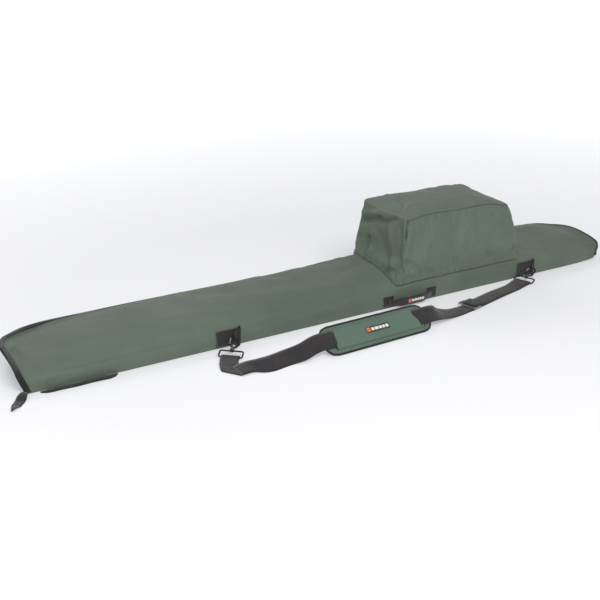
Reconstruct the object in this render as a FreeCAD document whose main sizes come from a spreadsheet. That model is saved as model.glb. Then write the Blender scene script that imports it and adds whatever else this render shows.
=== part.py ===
"""Padded fishing rod case with a reel pocket, a shoulder strap and two handles.

The case lies flat: X runs from the tip end (-X) to the butt end (+X), Y from the
front band (-Y) to the zip (+Y), and Z is up from the ground. The origin is the
middle of the flat underside. Everything is in millimetres.
"""

import FreeCAD, Part
import math
import os

import Sketcher
from FreeCAD import Placement, Rotation, Vector

doc = FreeCAD.newDocument("rod_case")

# ---------------------------------------------------------------- driving dimensions
DIMENSIONS = {
    # the closed sleeve
    "half_length": 952.0,
    "half_width": 112.5,
    "front_corner": 28.0,
    "back_corner": 90.0,
    "dome_radius": 214.7,
    "dome_centre_y": 17.8,
    "dome_centre_z": -108.6,
    "end_run": 34.0,
    "end_curve": 60.0,
    "end_top": 84.0,
    "crown_top": 108.0,
    "crown_run": 600.0,
    "crown_curve": 2600.0,
    # layers, from outside to inside
    "fabric": 1.5,
    "foam": 7.5,
    "lining": 1.0,
    # where the sleeve opens
    "hinge_height": 62.0,
    "hinge_gap": 0.3,
    "zip_height": 74.0,
    "zip_window": 8.0,
    "tape_width": 16.0,
    "tape_thick": 1.0,
    "coil_gap": 0.8,
    "coil_width": 1.8,
    "coil_depth": 2.0,
    # zip sliders and their pulls
    "slider_tip_x": -32.0,
    "slider_butt_x": 8.0,
    "slider_length": 24.0,
    "slider_width": 13.0,
    "slider_thick": 2.4,
    "slider_clearance": 0.3,
    "lug_spread": 8.0,
    "lug_thick": 1.6,
    "lug_reach": 5.0,
    "pull_pin": 1.0,
    "pull_length": 28.0,
    "pull_width": 7.0,
    "pull_thick": 1.8,
    # reel pocket
    "pocket_tip": 99.0,
    "pocket_butt": 583.0,
    "pocket_top_tip": 140.0,
    "pocket_top_butt": 525.0,
    "pocket_back": 108.0,
    "pocket_top_front": 101.0,
    "pocket_top_back": 104.0,
    "pocket_base": 40.0,
    "pocket_height": 250.0,
    "pocket_corner": 24.0,
    "pocket_seam": 5.0,
    # strap rings and the webbing tabs that hold them on the front band
    "dring_tip_x": -397.0,
    "dring_butt_x": 638.0,
    "dring_height": 28.0,
    "dring_bar": 51.0,
    "dring_arm": 6.5,
    "dring_corner": 3.5,
    "dring_heading": 218.0,
    "dring_wire": 4.5,
    "tab_width": 42.0,
    "tab_length": 66.0,
    # webbing
    "webbing": 48.0,
    "webbing_thick": 2.0,
    "loop_clearance": 0.25,
    # swivel snap hooks
    "hook_tip_heading": 228.7,
    "hook_butt_heading": 197.0,
    "hook_pitch": 23.4,
    "hook_roll": -30.0,
    "hook_eye": 10.5,
    "hook_straight": 14.0,
    "hook_wire": 5.0,
    "neck_width": 7.0,
    "swivel_start": 29.0,
    "swivel_width": 11.0,
    "swivel_length": 9.0,
    "loop_near": 37.5,
    "loop_far": 58.0,
    "loop_width": 59.0,
    "loop_corner": 5.0,
    "loop_wire": 4.0,
    "gate_pivot": 15.5,
    "gate_length": 13.5,
    "gate_wire": 4.0,
    "gate_ear": 1.4,
    "gate_knuckle": 5.2,
    # shoulder strap
    "strap_end_length": 60.0,
    "ground_gap": 0.6,
    "pad_length": 340.0,
    "pad_width": 80.0,
    "pad_thick": 7.0,
    "pad_corner": 30.0,
    "pad_middle_x": -75.0,
    "pad_front_y": -293.5,
    "pad_heading": 1.5,
    "pad_tilt": 38.0,
    "pad_run": 30.0,
    "cover_length": 284.0,
    "cover_width": 60.0,
    "cover_thick": 1.4,
    "layer_gap": 0.4,
    "patch_length": 80.0,
    "patch_width": 20.0,
    "patch_thick": 0.8,
    "run_start_x": 262.0,
    "run_start_y": -250.0,
    "run_heading": 13.5,
    "run_length": 172.0,
    "adjuster_place": 30.0,
    "adjuster_length": 30.0,
    "adjuster_width": 60.0,
    "adjuster_thick": 3.0,
    "adjuster_bar": 4.0,
    # carry handle on the front band
    "handle_tip_x": 78.0,
    "handle_butt_x": 232.0,
    "handle_height": 22.0,
    "handle_reach": 8.5,
    "handle_bulge": 21.0,
    "handle_webbing": 26.0,
    "handle_folded": 12.0,
    "handle_patch_length": 36.0,
    "handle_patch_width": 28.0,
    "handle_label_length": 62.0,
    # grab handle under the tip end
    "grab_start_x": -896.0,
    "grab_end_x": -725.0,
    "grab_reach": 26.0,
    "grab_gap": 2.0,
    # loose end of the zip tape at the tip
    "tail_length": 100.0,
    "tail_width": 24.0,
    "tail_heading": 246.0,
    "tail_height": 10.0,
    "tail_clearance": 6.0,
    # rod straps inside the sleeve
    "rod_strap_width": 30.0,
    "rod_strap_reach": 78.0,
    "rod_strap_rise": 32.0,
    "rod_strap_thick": 2.0,
}

sheet = doc.addObject("Spreadsheet::Sheet", "Dimensions")
for row, (alias, number) in enumerate(DIMENSIONS.items(), start=1):
    sheet.set(f"A{row}", alias)
    sheet.set(f"B{row}", str(number))
    sheet.setAlias(f"B{row}", alias)
doc.recompute()


# ---------------------------------------------------------------- sketches and solids
UP = Vector(0, 0, 1)
ALONG = Vector(1, 0, 0)
PLAN = Rotation()  # sketch X is X, sketch Y is Y
SECTION = Rotation(0.5, 0.5, 0.5, 0.5)  # sketch X is Y, sketch Y is Z
SIDE = Rotation(ALONG, 90)  # sketch X is X, sketch Y is Z

THROUGH = "2400"  # the length of an extrusion that passes right through the case
SUB_PARTS = []


def in_sheet(expression):
    """The expression with each dimension's name pointing at its cell."""
    out, word = "", ""
    for char in expression + " ":
        if char.isalnum() or char in "_.":
            word += char
            continue
        out += ("Dimensions." + word if word in DIMENSIONS else word) + char
        word = ""
    return out.strip()


def value(expression):
    """What an expression comes to now."""
    return float(sheet.evalExpression(expression))


def arc_between(start, end, radius):
    """The arc from start to end, to the right of the walk, or left if radius is negative,
    and the numbers of its points where the walk enters and leaves it."""
    chord = end - start
    rise = math.sqrt(max(radius**2 - (chord.Length / 2) ** 2, 0))
    left = Vector(-chord.y, chord.x, 0).normalize()
    centre = (start + end) / 2 + left * math.copysign(rise, radius)
    first = math.atan2(start.y - centre.y, start.x - centre.x)
    last = math.atan2(end.y - centre.y, end.x - centre.x)
    circle = Part.Circle(centre, UP, abs(radius))
    if radius > 0:
        return Part.ArcOfCircle(circle, first, last), 1, 2
    return Part.ArcOfCircle(circle, last, first), 2, 1


def outline(sketch, corners, arcs=None):
    """Closed outline through corners, each an (x, y) pair of sheet expressions.

    arcs maps the number of a side to the expression of its radius. A positive radius
    bulges to the right of the walk, so that a counter-clockwise outline grows.
    """
    arcs = arcs or {}
    points = [Vector(value(x), value(y), 0) for x, y in corners]
    sides = []
    for i, start in enumerate(points):
        end = points[(i + 1) % len(points)]
        if i in arcs:
            curve, first, last = arc_between(start, end, value(arcs[i]))
        else:
            curve, first, last = Part.LineSegment(start, end), 1, 2
        sides.append((sketch.addGeometry(curve), first, last))
        if i in arcs:
            size = Sketcher.Constraint("Radius", sides[i][0], abs(value(arcs[i])))
            row = sketch.addConstraint(size)
            sketch.setExpression(f"Constraints[{row}]", in_sheet(f"abs({arcs[i]})"))
    for i, (side, first, last) in enumerate(sides):
        follower = sides[(i + 1) % len(sides)]
        sketch.addConstraint(Sketcher.Constraint("Coincident", side, last, *follower[:2]))
        for kind, place, number in zip(
            ("DistanceX", "DistanceY"), corners[i], (points[i].x, points[i].y), strict=True
        ):
            row = sketch.addConstraint(Sketcher.Constraint(kind, -1, 1, side, first, number))
            sketch.setExpression(f"Constraints[{row}]", in_sheet(place))


def circle(sketch, radius, centre=("0", "0")):
    """A full circle in a sketch, from sheet expressions."""
    x, y = value(centre[0]), value(centre[1])
    ring = sketch.addGeometry(Part.Circle(Vector(x, y, 0), UP, value(radius)))
    row = sketch.addConstraint(Sketcher.Constraint("Radius", ring, value(radius)))
    sketch.setExpression(f"Constraints[{row}]", in_sheet(radius))
    for kind, place, number in (("DistanceX", centre[0], x), ("DistanceY", centre[1], y)):
        row = sketch.addConstraint(Sketcher.Constraint(kind, -1, 1, ring, 3, number))
        sketch.setExpression(f"Constraints[{row}]", in_sheet(place))


def free_sketch(name, rotation, corners=None, arcs=None):
    """A sketch outside any body, turned one of the three ways."""
    sketch = doc.addObject("Sketcher::SketchObject", name)
    sketch.Placement = Placement(Vector(), rotation)
    if corners:
        outline(sketch, corners, arcs)
    return sketch


def rectangle(low_x, low_y, high_x, high_y):
    """The corners of a rectangle, counter-clockwise."""
    return [(low_x, low_y), (high_x, low_y), (high_x, high_y), (low_x, high_y)]


def rounded(low_x, low_y, high_x, high_y, radius):
    """The corners and arcs of a rectangle with rounded corners."""
    corners = [
        (f"({low_x}) + ({radius})", low_y),
        (f"({high_x}) - ({radius})", low_y),
        (high_x, f"({low_y}) + ({radius})"),
        (high_x, f"({high_y}) - ({radius})"),
        (f"({high_x}) - ({radius})", high_y),
        (f"({low_x}) + ({radius})", high_y),
        (low_x, f"({high_y}) - ({radius})"),
        (low_x, f"({low_y}) + ({radius})"),
    ]
    return corners, {side: radius for side in (1, 3, 5, 7)}


def extruded(name, sketch, length):
    """A free sketch pushed both ways along its normal."""
    solid = doc.addObject("Part::Extrusion", name)
    solid.Base = sketch
    solid.DirMode = "Normal"
    solid.Solid = True
    solid.Symmetric = True
    solid.setExpression("LengthFwd", in_sheet(length))
    return solid


def common(name, *shapes):
    """What all the shapes share."""
    result = doc.addObject("Part::MultiCommon", name)
    result.Shapes = list(shapes)
    return result


def fused(name, *shapes):
    """The shapes joined into one."""
    result = doc.addObject("Part::MultiFuse", name)
    result.Shapes = list(shapes)
    result.Refine = True
    return result


def cut(name, base, tool):
    """base without tool."""
    result = doc.addObject("Part::Cut", name)
    result.Base = base
    result.Tool = tool
    return result


def box(name, low, high):
    """A block between two corners, each three sheet expressions."""
    block = doc.addObject("Part::Box", name)
    for size, axis, start, end in zip(("Length", "Width", "Height"), "xyz", low, high, strict=True):
        block.setExpression(size, in_sheet(f"({end}) - ({start})"))
        block.setExpression(f"Placement.Base.{axis}", in_sheet(start))
    return block


def cylinder(name, radius, height, start=("0", "0", "0"), along=UP):
    """A rod from start, pointing along one of the axes."""
    rod = doc.addObject("Part::Cylinder", name)
    rod.setExpression("Radius", in_sheet(radius))
    rod.setExpression("Height", in_sheet(height))
    rod.Placement = Placement(Vector(), Rotation(UP, along))
    for axis, place in zip("xyz", start, strict=True):
        rod.setExpression(f"Placement.Base.{axis}", in_sheet(place))
    return rod


def wire_form(name, corners, arcs, wire):
    """Round wire bent along a closed outline whose first side is straight."""
    path = free_sketch(f"{name}_path", PLAN, corners, arcs)
    start, ahead = (Vector(value(x), value(y), 0) for x, y in corners[:2])
    section = doc.addObject("Sketcher::SketchObject", f"{name}_section")
    section.Placement = Placement(start, Rotation(UP, ahead - start))
    circle(section, f"({wire}) / 2")
    sweep = doc.addObject("Part::Sweep", name)
    sweep.Sections = [section]
    sweep.Spine = (path, [f"Edge{side + 1}" for side in range(len(corners))])
    sweep.Solid = True
    return sweep


class PadBody:
    """A body grown by pads on its own origin planes."""

    def __init__(self, name):
        self.body = doc.addObject("PartDesign::Body", name)
        self.name = name
        self.count = 0

    def sketch(self, role):
        self.count += 1
        sketch = self.body.newObject("Sketcher::SketchObject", f"{self.name}_sketch_{self.count}")
        plane = next(item for item in self.body.Origin.OriginFeatures if item.Role == role)
        sketch.AttachmentSupport = [(plane, "")]
        sketch.MapMode = "FlatFace"
        return sketch

    def pad(self, sketch, length, middle=True, start=None):
        """Pushes a sketch out, evenly or from start along its normal."""
        feature = self.body.newObject("PartDesign::Pad", f"{sketch.Name}_pad")
        feature.Profile = sketch
        feature.Midplane = middle
        feature.setExpression("Length", in_sheet(length))
        if start is not None:
            sketch.setExpression("AttachmentOffset.Base.z", in_sheet(start))
        return feature


def sub_part(shape, label, place=None):
    """Marks a finished shape as a piece of the case, names its file and places it."""
    shape.Label = label
    if place is not None:
        shape.Placement = place
    SUB_PARTS.append(shape)
    return shape


def at(x, y, z):
    """A point from three sheet expressions."""
    return Vector(value(x), value(y), value(z))


# ---------------------------------------------------------------- the sleeve
def sleeve(name, inset):
    """The closed sleeve as one solid, its whole skin moved inwards by inset.

    It is what three long extrusions share: the plan with its rounded corners, the
    domed cross-section, and the side view that thins towards both ends.
    """
    plan = free_sketch(
        f"{name}_plan",
        PLAN,
        [
            ("-half_length + front_corner", f"-half_width + {inset}"),
            ("half_length - front_corner", f"-half_width + {inset}"),
            (f"half_length - {inset}", "-half_width + front_corner"),
            (f"half_length - {inset}", "half_width - back_corner"),
            ("half_length - back_corner", f"half_width - {inset}"),
            ("-half_length + back_corner", f"half_width - {inset}"),
            (f"-half_length + {inset}", "half_width - back_corner"),
            (f"-half_length + {inset}", "-half_width + front_corner"),
        ],
        {
            1: f"front_corner - {inset}",
            3: f"back_corner - {inset}",
            5: f"back_corner - {inset}",
            7: f"front_corner - {inset}",
        },
    )
    dome = f"dome_radius - {inset}"
    front_rise = f"sqrt(({dome})^2 - (half_width - {inset} + dome_centre_y)^2)"
    back_rise = f"sqrt(({dome})^2 - (half_width - {inset} - dome_centre_y)^2)"
    section = free_sketch(
        f"{name}_section",
        SECTION,
        [
            (f"-half_width + {inset}", inset),
            (f"half_width - {inset}", inset),
            (f"half_width - {inset}", f"dome_centre_z + {back_rise}"),
            (f"-half_width + {inset}", f"dome_centre_z + {front_rise}"),
        ],
        {2: dome},
    )
    heel = f"end_curve - sqrt((end_curve - {inset})^2 - (end_run - {inset})^2)"
    side = free_sketch(
        f"{name}_side",
        SIDE,
        [
            ("-half_length + end_run", inset),
            ("half_length - end_run", inset),
            (f"half_length - {inset}", heel),
            (f"half_length - {inset}", f"end_top - {inset}"),
            ("crown_run", f"crown_top - {inset}"),
            ("-crown_run", f"crown_top - {inset}"),
            (f"-half_length + {inset}", f"end_top - {inset}"),
            (f"-half_length + {inset}", heel),
        ],
        {
            1: f"end_curve - {inset}",
            3: "crown_curve",
            5: "crown_curve",
            7: f"end_curve - {inset}",
        },
    )
    return common(
        name,
        extruded(f"{name}_tall", plan, THROUGH),
        extruded(f"{name}_long", section, THROUGH),
        extruded(f"{name}_wide", side, THROUGH),
    )


def slab(name, front_low, back_low, front_high, back_high):
    """All that lies between two planes along the case, each given by its heights at
    the front and back walls."""

    def line(front, back, y):
        return f"({front}) + (({back}) - ({front})) * (({y}) + half_width) / (2 * half_width)"

    front, back = "-half_width - 40", "half_width + 40"
    sketch = free_sketch(
        f"{name}_sketch",
        SECTION,
        [
            (front, line(front_low, back_low, front)),
            (back, line(front_low, back_low, back)),
            (back, line(front_high, back_high, back)),
            (front, line(front_high, back_high, front)),
        ],
    )
    return extruded(name, sketch, THROUGH)


LAYERS = ("shell", "foam", "lining")
INSETS = ("(0)", "(fabric)", "(fabric + foam)", "(fabric + foam + lining)")
skins = [sleeve(f"sleeve_{i}", inset) for i, inset in enumerate(INSETS)]

low_side = slab("low_side", "-20", "-20", "hinge_height - hinge_gap", "zip_height - zip_window")
high_side = slab(
    "high_side", "hinge_height + hinge_gap", "zip_height + zip_window", "300", "300"
)


# ---------------------------------------------------------------- the reel pocket
def reel_pocket(name, inset):
    """The reel pocket as one solid, a box that narrows upwards, its skin moved inwards
    by inset."""

    def ring(part, tip, butt, front, back, height):
        corners, arcs = rounded(
            f"{tip} + {inset}",
            f"-{front} + {inset}",
            f"{butt} - {inset}",
            f"{back} - {inset}",
            f"pocket_corner - {inset}",
        )
        sketch = free_sketch(f"{name}_{part}", PLAN, corners, arcs)
        sketch.setExpression("Placement.Base.z", in_sheet(height))
        return sketch

    foot = ring("foot", "pocket_tip", "pocket_butt", "half_width", "pocket_back", "pocket_base")
    top = ring(
        "top",
        "pocket_top_tip",
        "pocket_top_butt",
        "pocket_top_front",
        "pocket_top_back",
        f"pocket_height - {inset}",
    )
    loft = doc.addObject("Part::Loft", name)
    loft.Sections = [foot, top]
    loft.Solid = True
    loft.Ruled = True
    return loft


pocket_skins = [reel_pocket(f"pocket_{i}", inset) for i, inset in enumerate(INSETS)]


def layered_shells():
    """Outer cloth, foam and lining of the tray, the lid and the reel pocket.
    Returns the pocket's outer cloth, which is sewn from panels."""
    pocket_cloth = None
    for i, layer in enumerate(LAYERS):
        wall = cut(f"sleeve_wall_{i}", skins[i], skins[i + 1])
        sub_part(common(f"base_{layer}_solid", wall, low_side), f"base_{layer}")
        upper = common(f"lid_{layer}_whole", wall, high_side)
        sub_part(cut(f"lid_{layer}_solid", upper, pocket_skins[0]), f"lid_{layer}")
        side = cut(f"pocket_wall_{i}", pocket_skins[i], pocket_skins[i + 1])
        raised = common(f"pocket_{layer}_raised", side, high_side)
        clear = cut(f"pocket_{layer}_clear", raised, skins[-1])
        if layer == "shell":
            pocket_cloth = clear
        else:
            sub_part(clear, f"reel_pocket_{layer}")
    return pocket_cloth


def pocket_panels(cloth):
    """The pocket's front panel, its back panel, and the gusset that runs up one end,
    over the top and down the other end. The seams lie just behind the outer faces."""

    def face(foot, top, z):
        share = f"(({z}) - pocket_base) / (pocket_height - pocket_base)"
        return f"({foot}) + (({top}) - ({foot})) * {share}"

    low, high = "pocket_base - 20", "pocket_height + 20"
    front = [face("pocket_seam - half_width", "pocket_seam - pocket_top_front", z) for z in (low, high)]
    back = [face("pocket_back - pocket_seam", "pocket_top_back - pocket_seam", z) for z in (low, high)]
    outside_front, outside_back = ["-half_width - 20"] * 2, ["half_width + 20"] * 2
    for label, near, far in (
        ("front", outside_front, front),
        ("gusset", front, back),
        ("back", back, outside_back),
    ):
        corners = [(near[0], low), (far[0], low), (far[1], high), (near[1], high)]
        between = free_sketch(f"pocket_{label}_cut", SECTION, corners)
        panel = common(f"pocket_{label}_panel", cloth, extruded(f"pocket_{label}_side", between, THROUGH))
        sub_part(panel, f"reel_pocket_{label}")


# ---------------------------------------------------------------- the zip
def zip_band(name, inner, outer, low, high):
    """A band on the outside of the end and back walls, between two heights measured
    from the middle of the zip. It stops at the front corners."""
    wall = cut(f"{name}_wall", sleeve(f"{name}_out", f"({outer})"), sleeve(f"{name}_in", f"({inner})"))
    walls = ("hinge_height", "zip_height")
    heights = [f"{wall} + {edge}" for edge in (low, high) for wall in walls]
    behind = box(
        f"{name}_behind",
        ("-half_length - 20", "-half_width + front_corner", "0"),
        ("half_length + 20", "half_width + 20", "200"),
    )
    return common(name, wall, slab(f"{name}_slab", *heights), behind)


def zip_chain():
    """Tape and coil on each side of the opening. The coil lies in the gap between the
    two tapes and both sit just off the cloth."""
    off = "-layer_gap / 4"
    tape_outer = f"{off} - tape_thick"
    coil_outer = f"{off} - coil_depth"
    coil_edge = "coil_gap + coil_width"
    tape_edge = f"{coil_edge} + layer_gap / 4"
    bands = (
        ("zip_tape_base", tape_outer, "-tape_width", f"-({tape_edge})"),
        ("zip_tape_lid", tape_outer, f"({tape_edge})", "tape_width * 0.6"),
        ("zip_coil_base", coil_outer, f"-({coil_edge})", "-coil_gap"),
        ("zip_coil_lid", coil_outer, "coil_gap", f"({coil_edge})"),
    )
    for label, outer, low, high in bands:
        sub_part(zip_band(f"{label}_solid", off, outer, low, high), label)


def zip_slider(label, x):
    """A slider that rides the outside of the coil, with two lugs and a pin for its pull.
    Its own frame: X along the zip, Y outwards, Z up, origin on the coil's face."""
    made = PadBody(f"{label}_body")
    plate = made.sketch("XZ_Plane")
    corners, arcs = rounded(
        "-slider_length / 2", "-slider_width / 2", "slider_length / 2", "slider_width / 2", "slider_width / 3"
    )
    outline(plate, corners, arcs)
    made.pad(plate, "slider_thick", middle=False, start="-slider_clearance - slider_thick")
    pin_y = "slider_clearance + lug_reach"
    for side in (-1, 1):
        lug = made.sketch("YZ_Plane")
        lug_low, lug_high = "slider_clearance + slider_thick / 2", f"{pin_y} + pull_pin * 2"
        outline(lug, *rounded(lug_low, "-pull_pin * 2", lug_high, "pull_pin * 2", "pull_pin"))
        made.pad(lug, "lug_thick", start=f"{side} * (lug_spread + lug_thick) / 2")
    pin = made.sketch("YZ_Plane")
    circle(pin, "pull_pin", (pin_y, "0"))
    made.pad(pin, "lug_spread + lug_thick")
    place = at(x, "half_width + layer_gap / 4 + coil_depth", "zip_height")
    sub_part(made.body, label, Placement(place, Rotation()))

    pull = PadBody(f"{label}_pull_body")
    barrel = pull.sketch("YZ_Plane")
    circle(barrel, "pull_pin * 2")
    circle(barrel, "pull_pin + 0.08")
    pull.pad(barrel, "lug_spread - layer_gap")
    blade = pull.sketch("XZ_Plane")
    low, high = "-pull_length", "-pull_pin * 1.5"
    outline(blade, *rounded("-pull_width / 2", low, "pull_width / 2", high, "pull_width / 4"))
    circle(blade, "pull_width / 5", ("0", "-pull_length + pull_width / 2"))
    pull.pad(blade, "pull_thick")
    pin_place = place + Vector(0, value(pin_y), 0)
    sub_part(pull.body, label.replace("slider", "pull"), Placement(pin_place, Rotation()))


def zip_tail():
    """The loose end of the zip tape, a tapered leaf that lies on the ground."""
    leaf = PadBody("zip_tail_body")
    sketch = leaf.sketch("XY_Plane")
    outline(
        sketch,
        [
            ("0", "-tail_width / 4"),
            ("tail_length / 2", "-tail_width / 2"),
            ("tail_length", "0"),
            ("tail_length / 2", "tail_width / 2"),
            ("0", "tail_width / 4"),
        ],
        {0: "tail_length * 1.5", 3: "tail_length * 1.5"},
    )
    leaf.pad(sketch, "tape_thick", middle=False)
    root = at("-half_length - tail_clearance", "-half_width + front_corner - 4", "tail_height")
    droop = math.degrees(math.asin(value("(tail_height - ground_gap) / tail_length")))
    sub_part(leaf.body, "zip_tail", Placement(root, Rotation(value("tail_heading"), droop, 0)))


# ---------------------------------------------------------------- strap hardware
def sewn_loop(label, bar, length, width, layers, place):
    """Webbing folded round a bar of the given radius and sewn to itself.
    Its own frame: Z along the bar, the tail towards -X on the -Y side."""
    hole = f"({bar} + loop_clearance)"
    skin = f"({hole} + webbing_thick)"
    tail_top = f"(-{skin} + {layers} * webbing_thick)"
    meet = f"-sqrt({skin}^2 - {tail_top}^2)"
    made = PadBody(f"{label}_body")
    sketch = made.sketch("XY_Plane")
    corners = [
        (f"-{length}", f"-{skin}"),
        ("0", f"-{skin}"),
        (skin, "0"),
        ("0", skin),
        (meet, tail_top),
        (f"-{length}", tail_top),
    ]
    outline(sketch, corners, {1: skin, 2: skin, 3: skin})
    circle(sketch, hole)
    made.pad(sketch, width)
    return sub_part(made.body, label, place)


def dring_frame(x):
    """Middle of a ring's bar, which stands upright beside the front band."""
    return at(x, "-half_width - dring_wire / 2 - loop_clearance - webbing_thick", "dring_height")


def dring(end, x):
    """A D-shaped ring, and the webbing tab that holds its bar to the front band."""
    bar, arm, corner = "dring_bar / 2", "dring_arm", "dring_corner"
    ring = wire_form(
        f"dring_{end}_wire",
        [
            ("0", f"-{bar} + {corner}"),
            ("0", f"{bar} - {corner}"),
            (corner, bar),
            (arm, bar),
            (f"{arm} + {bar}", "0"),
            (arm, f"-{bar}"),
            (corner, f"-{bar}"),
        ],
        {1: f"-{corner}", 3: f"-{bar}", 4: f"-{bar}", 6: f"-{corner}"},
        "dring_wire",
    )
    heading = math.radians(value("dring_heading"))
    outward = Vector(math.cos(heading), math.sin(heading), 0)
    turn = Rotation(outward, UP, outward.cross(UP), "ZXY")
    sub_part(ring, f"dring_{end}", Placement(dring_frame(x), turn))
    flip = Rotation(ALONG, 180)
    tab_place = Placement(dring_frame(x), flip)
    sewn_loop(f"dring_tab_{end}", "dring_wire / 2", "tab_length", "tab_width", "2", tab_place)


def eye_place(x):
    """Where a hook hangs: the middle of the ring's bow."""
    heading = math.radians(value("dring_heading"))
    reach = value("dring_arm + dring_bar / 2")
    return dring_frame(x) + Vector(math.cos(heading), math.sin(heading), 0) * reach


def snap_hook(end, x, heading):
    """A swivel snap hook: the hook with its eye, a hinged gate, and a rectangular loop
    that turns in the hook's barrel. Its own frame: origin in the eye, X to the loop."""
    eye, straight, pivot = "hook_eye", "hook_straight", "gate_pivot"
    hoop = wire_form(
        f"hook_{end}_hoop",
        [
            ("0", eye),
            (straight, eye),
            (f"{straight} + {eye}", "0"),
            (straight, f"-{eye}"),
            ("0", f"-{eye}"),
            (f"-{eye}", "0"),
        ],
        {1: f"-{eye}", 2: f"-{eye}", 4: f"-{eye}", 5: f"-{eye}"},
        "hook_wire",
    )
    opening = box(
        f"hook_{end}_opening",
        (f"{pivot} - gate_length - layer_gap", f"-{eye} - hook_wire", "-hook_wire"),
        (f"{pivot} + gate_knuckle / 2 + layer_gap", f"-{eye} + hook_wire / 2 + 1", "hook_wire"),
    )
    neck_start = f"{straight} + {eye}"
    ears = [
        box(
            f"hook_{end}_ear_{side}",
            (f"{pivot} - gate_wire / 2", f"-{eye} - gate_wire / 2", low),
            (f"{pivot} + gate_wire * 1.5", f"-{eye} + gate_wire / 2 + 1", high),
        )
        for side, low, high in (
            ("low", "-gate_wire / 2 - gate_ear", "-gate_wire / 2 - 0.1"),
            ("high", "gate_wire / 2 + 0.1", "gate_wire / 2 + gate_ear"),
        )
    ]
    pin_start = (pivot, f"-{eye}", "-gate_wire / 2 - gate_ear / 2")
    neck_length = f"swivel_start - ({neck_start}) + 1"
    hook = fused(
        f"hook_{end}_solid",
        cut(f"hook_{end}_open_hoop", hoop, opening),
        cylinder(f"hook_{end}_neck", "neck_width / 2", neck_length, (neck_start, "0", "0"), ALONG),
        *ears,
        cylinder(f"hook_{end}_gate_pin", "gate_wire / 4 - 0.06", "gate_wire + gate_ear", pin_start),
    )
    gate_start = (f"{pivot} - gate_length", f"-{eye}", "0")
    end_start = (pivot, f"-{eye}", "-gate_wire / 2")
    hole_start = (pivot, f"-{eye}", "-gate_wire")
    gate_rod = cylinder(f"gate_{end}_rod", "gate_wire / 2 - 0.2", "gate_length", gate_start, ALONG)
    gate_end = cylinder(f"gate_{end}_end", "gate_knuckle / 2", "gate_wire", end_start)
    gate_hole = cylinder(f"gate_{end}_hole", "gate_wire / 4", "2 * gate_wire", hole_start)
    gate = cut(f"gate_{end}_solid", fused(f"gate_{end}_blank", gate_rod, gate_end), gate_hole)

    near, half, corner = "loop_near", "loop_width / 2", "loop_corner"
    corners, arcs = rounded(near, f"-{half}", "loop_far", half, corner)
    ring = wire_form(f"hook_loop_{end}_ring", corners, arcs, "loop_wire")
    barrel = cylinder(
        f"hook_loop_{end}_barrel",
        "swivel_width / 2",
        f"{near} - (swivel_start + 1 + layer_gap)",
        ("swivel_start + 1 + layer_gap", "0", "0"),
        ALONG,
    )
    loop = fused(f"hook_loop_{end}_solid", ring, barrel)

    eye_at = eye_place(x)
    pitch = value("hook_pitch")
    level = Placement(eye_at, Rotation(value(heading), pitch, 0))
    rolled = Placement(eye_at, Rotation(value(heading), pitch, value("hook_roll")))
    sub_part(hook, f"hook_{end}", rolled)
    sub_part(gate, f"hook_gate_{end}", rolled)
    sub_part(loop, f"hook_loop_{end}", level)

    bar_at = level.multVec(Vector(value("loop_far"), 0, 0))
    ahead = Rotation(value(heading), 0, 0).multVec(ALONG)
    turn = Rotation(ahead * -1, UP, (ahead * -1).cross(UP), "ZXY")
    label = f"strap_end_{end}"
    sewn_loop(label, "loop_wire / 2", "strap_end_length", "webbing", "1", Placement(bar_at, turn))
    return bar_at, ahead


# ---------------------------------------------------------------- webbing and pad
def level_axes(heading, tilt):
    """Ahead, across and normal of webbing that heads one way on the plan and whose
    left edge is tilted up."""
    ahead = Rotation(heading, 0, 0).multVec(ALONG)
    left = UP.cross(ahead)
    lean = math.radians(tilt)
    across = left * math.cos(lean) + UP * math.sin(lean)
    return ahead, across, ahead.cross(across)


def ribbon(name, stations, width="webbing", thick="webbing_thick"):
    """Webbing through stations, each (point on the right edge, heading, tilt)."""
    sections = []
    for i, (point, heading, tilt) in enumerate(stations):
        ahead, across, normal = level_axes(heading, tilt)
        section = doc.addObject("Sketcher::SketchObject", f"{name}_{i}")
        section.Placement = Placement(point, Rotation(across, normal, ahead, "ZXY"))
        outline(section, rectangle("0", "0", width, thick))
        sections.append(section)
    loft = doc.addObject("Part::Loft", name)
    loft.Sections = sections
    loft.Solid = True
    loft.Ruled = True
    return loft


def pad_frame():
    """The shoulder pad's own frame: X along it, Y across, Z off its face, with the
    origin in the middle of its lower edge, which rests on the ground."""
    ahead, across, normal = level_axes(value("pad_heading"), value("pad_tilt"))
    origin = at("pad_middle_x", "pad_front_y", "ground_gap")
    return Placement(origin, Rotation(ahead, across, normal, "ZXY"))


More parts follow.
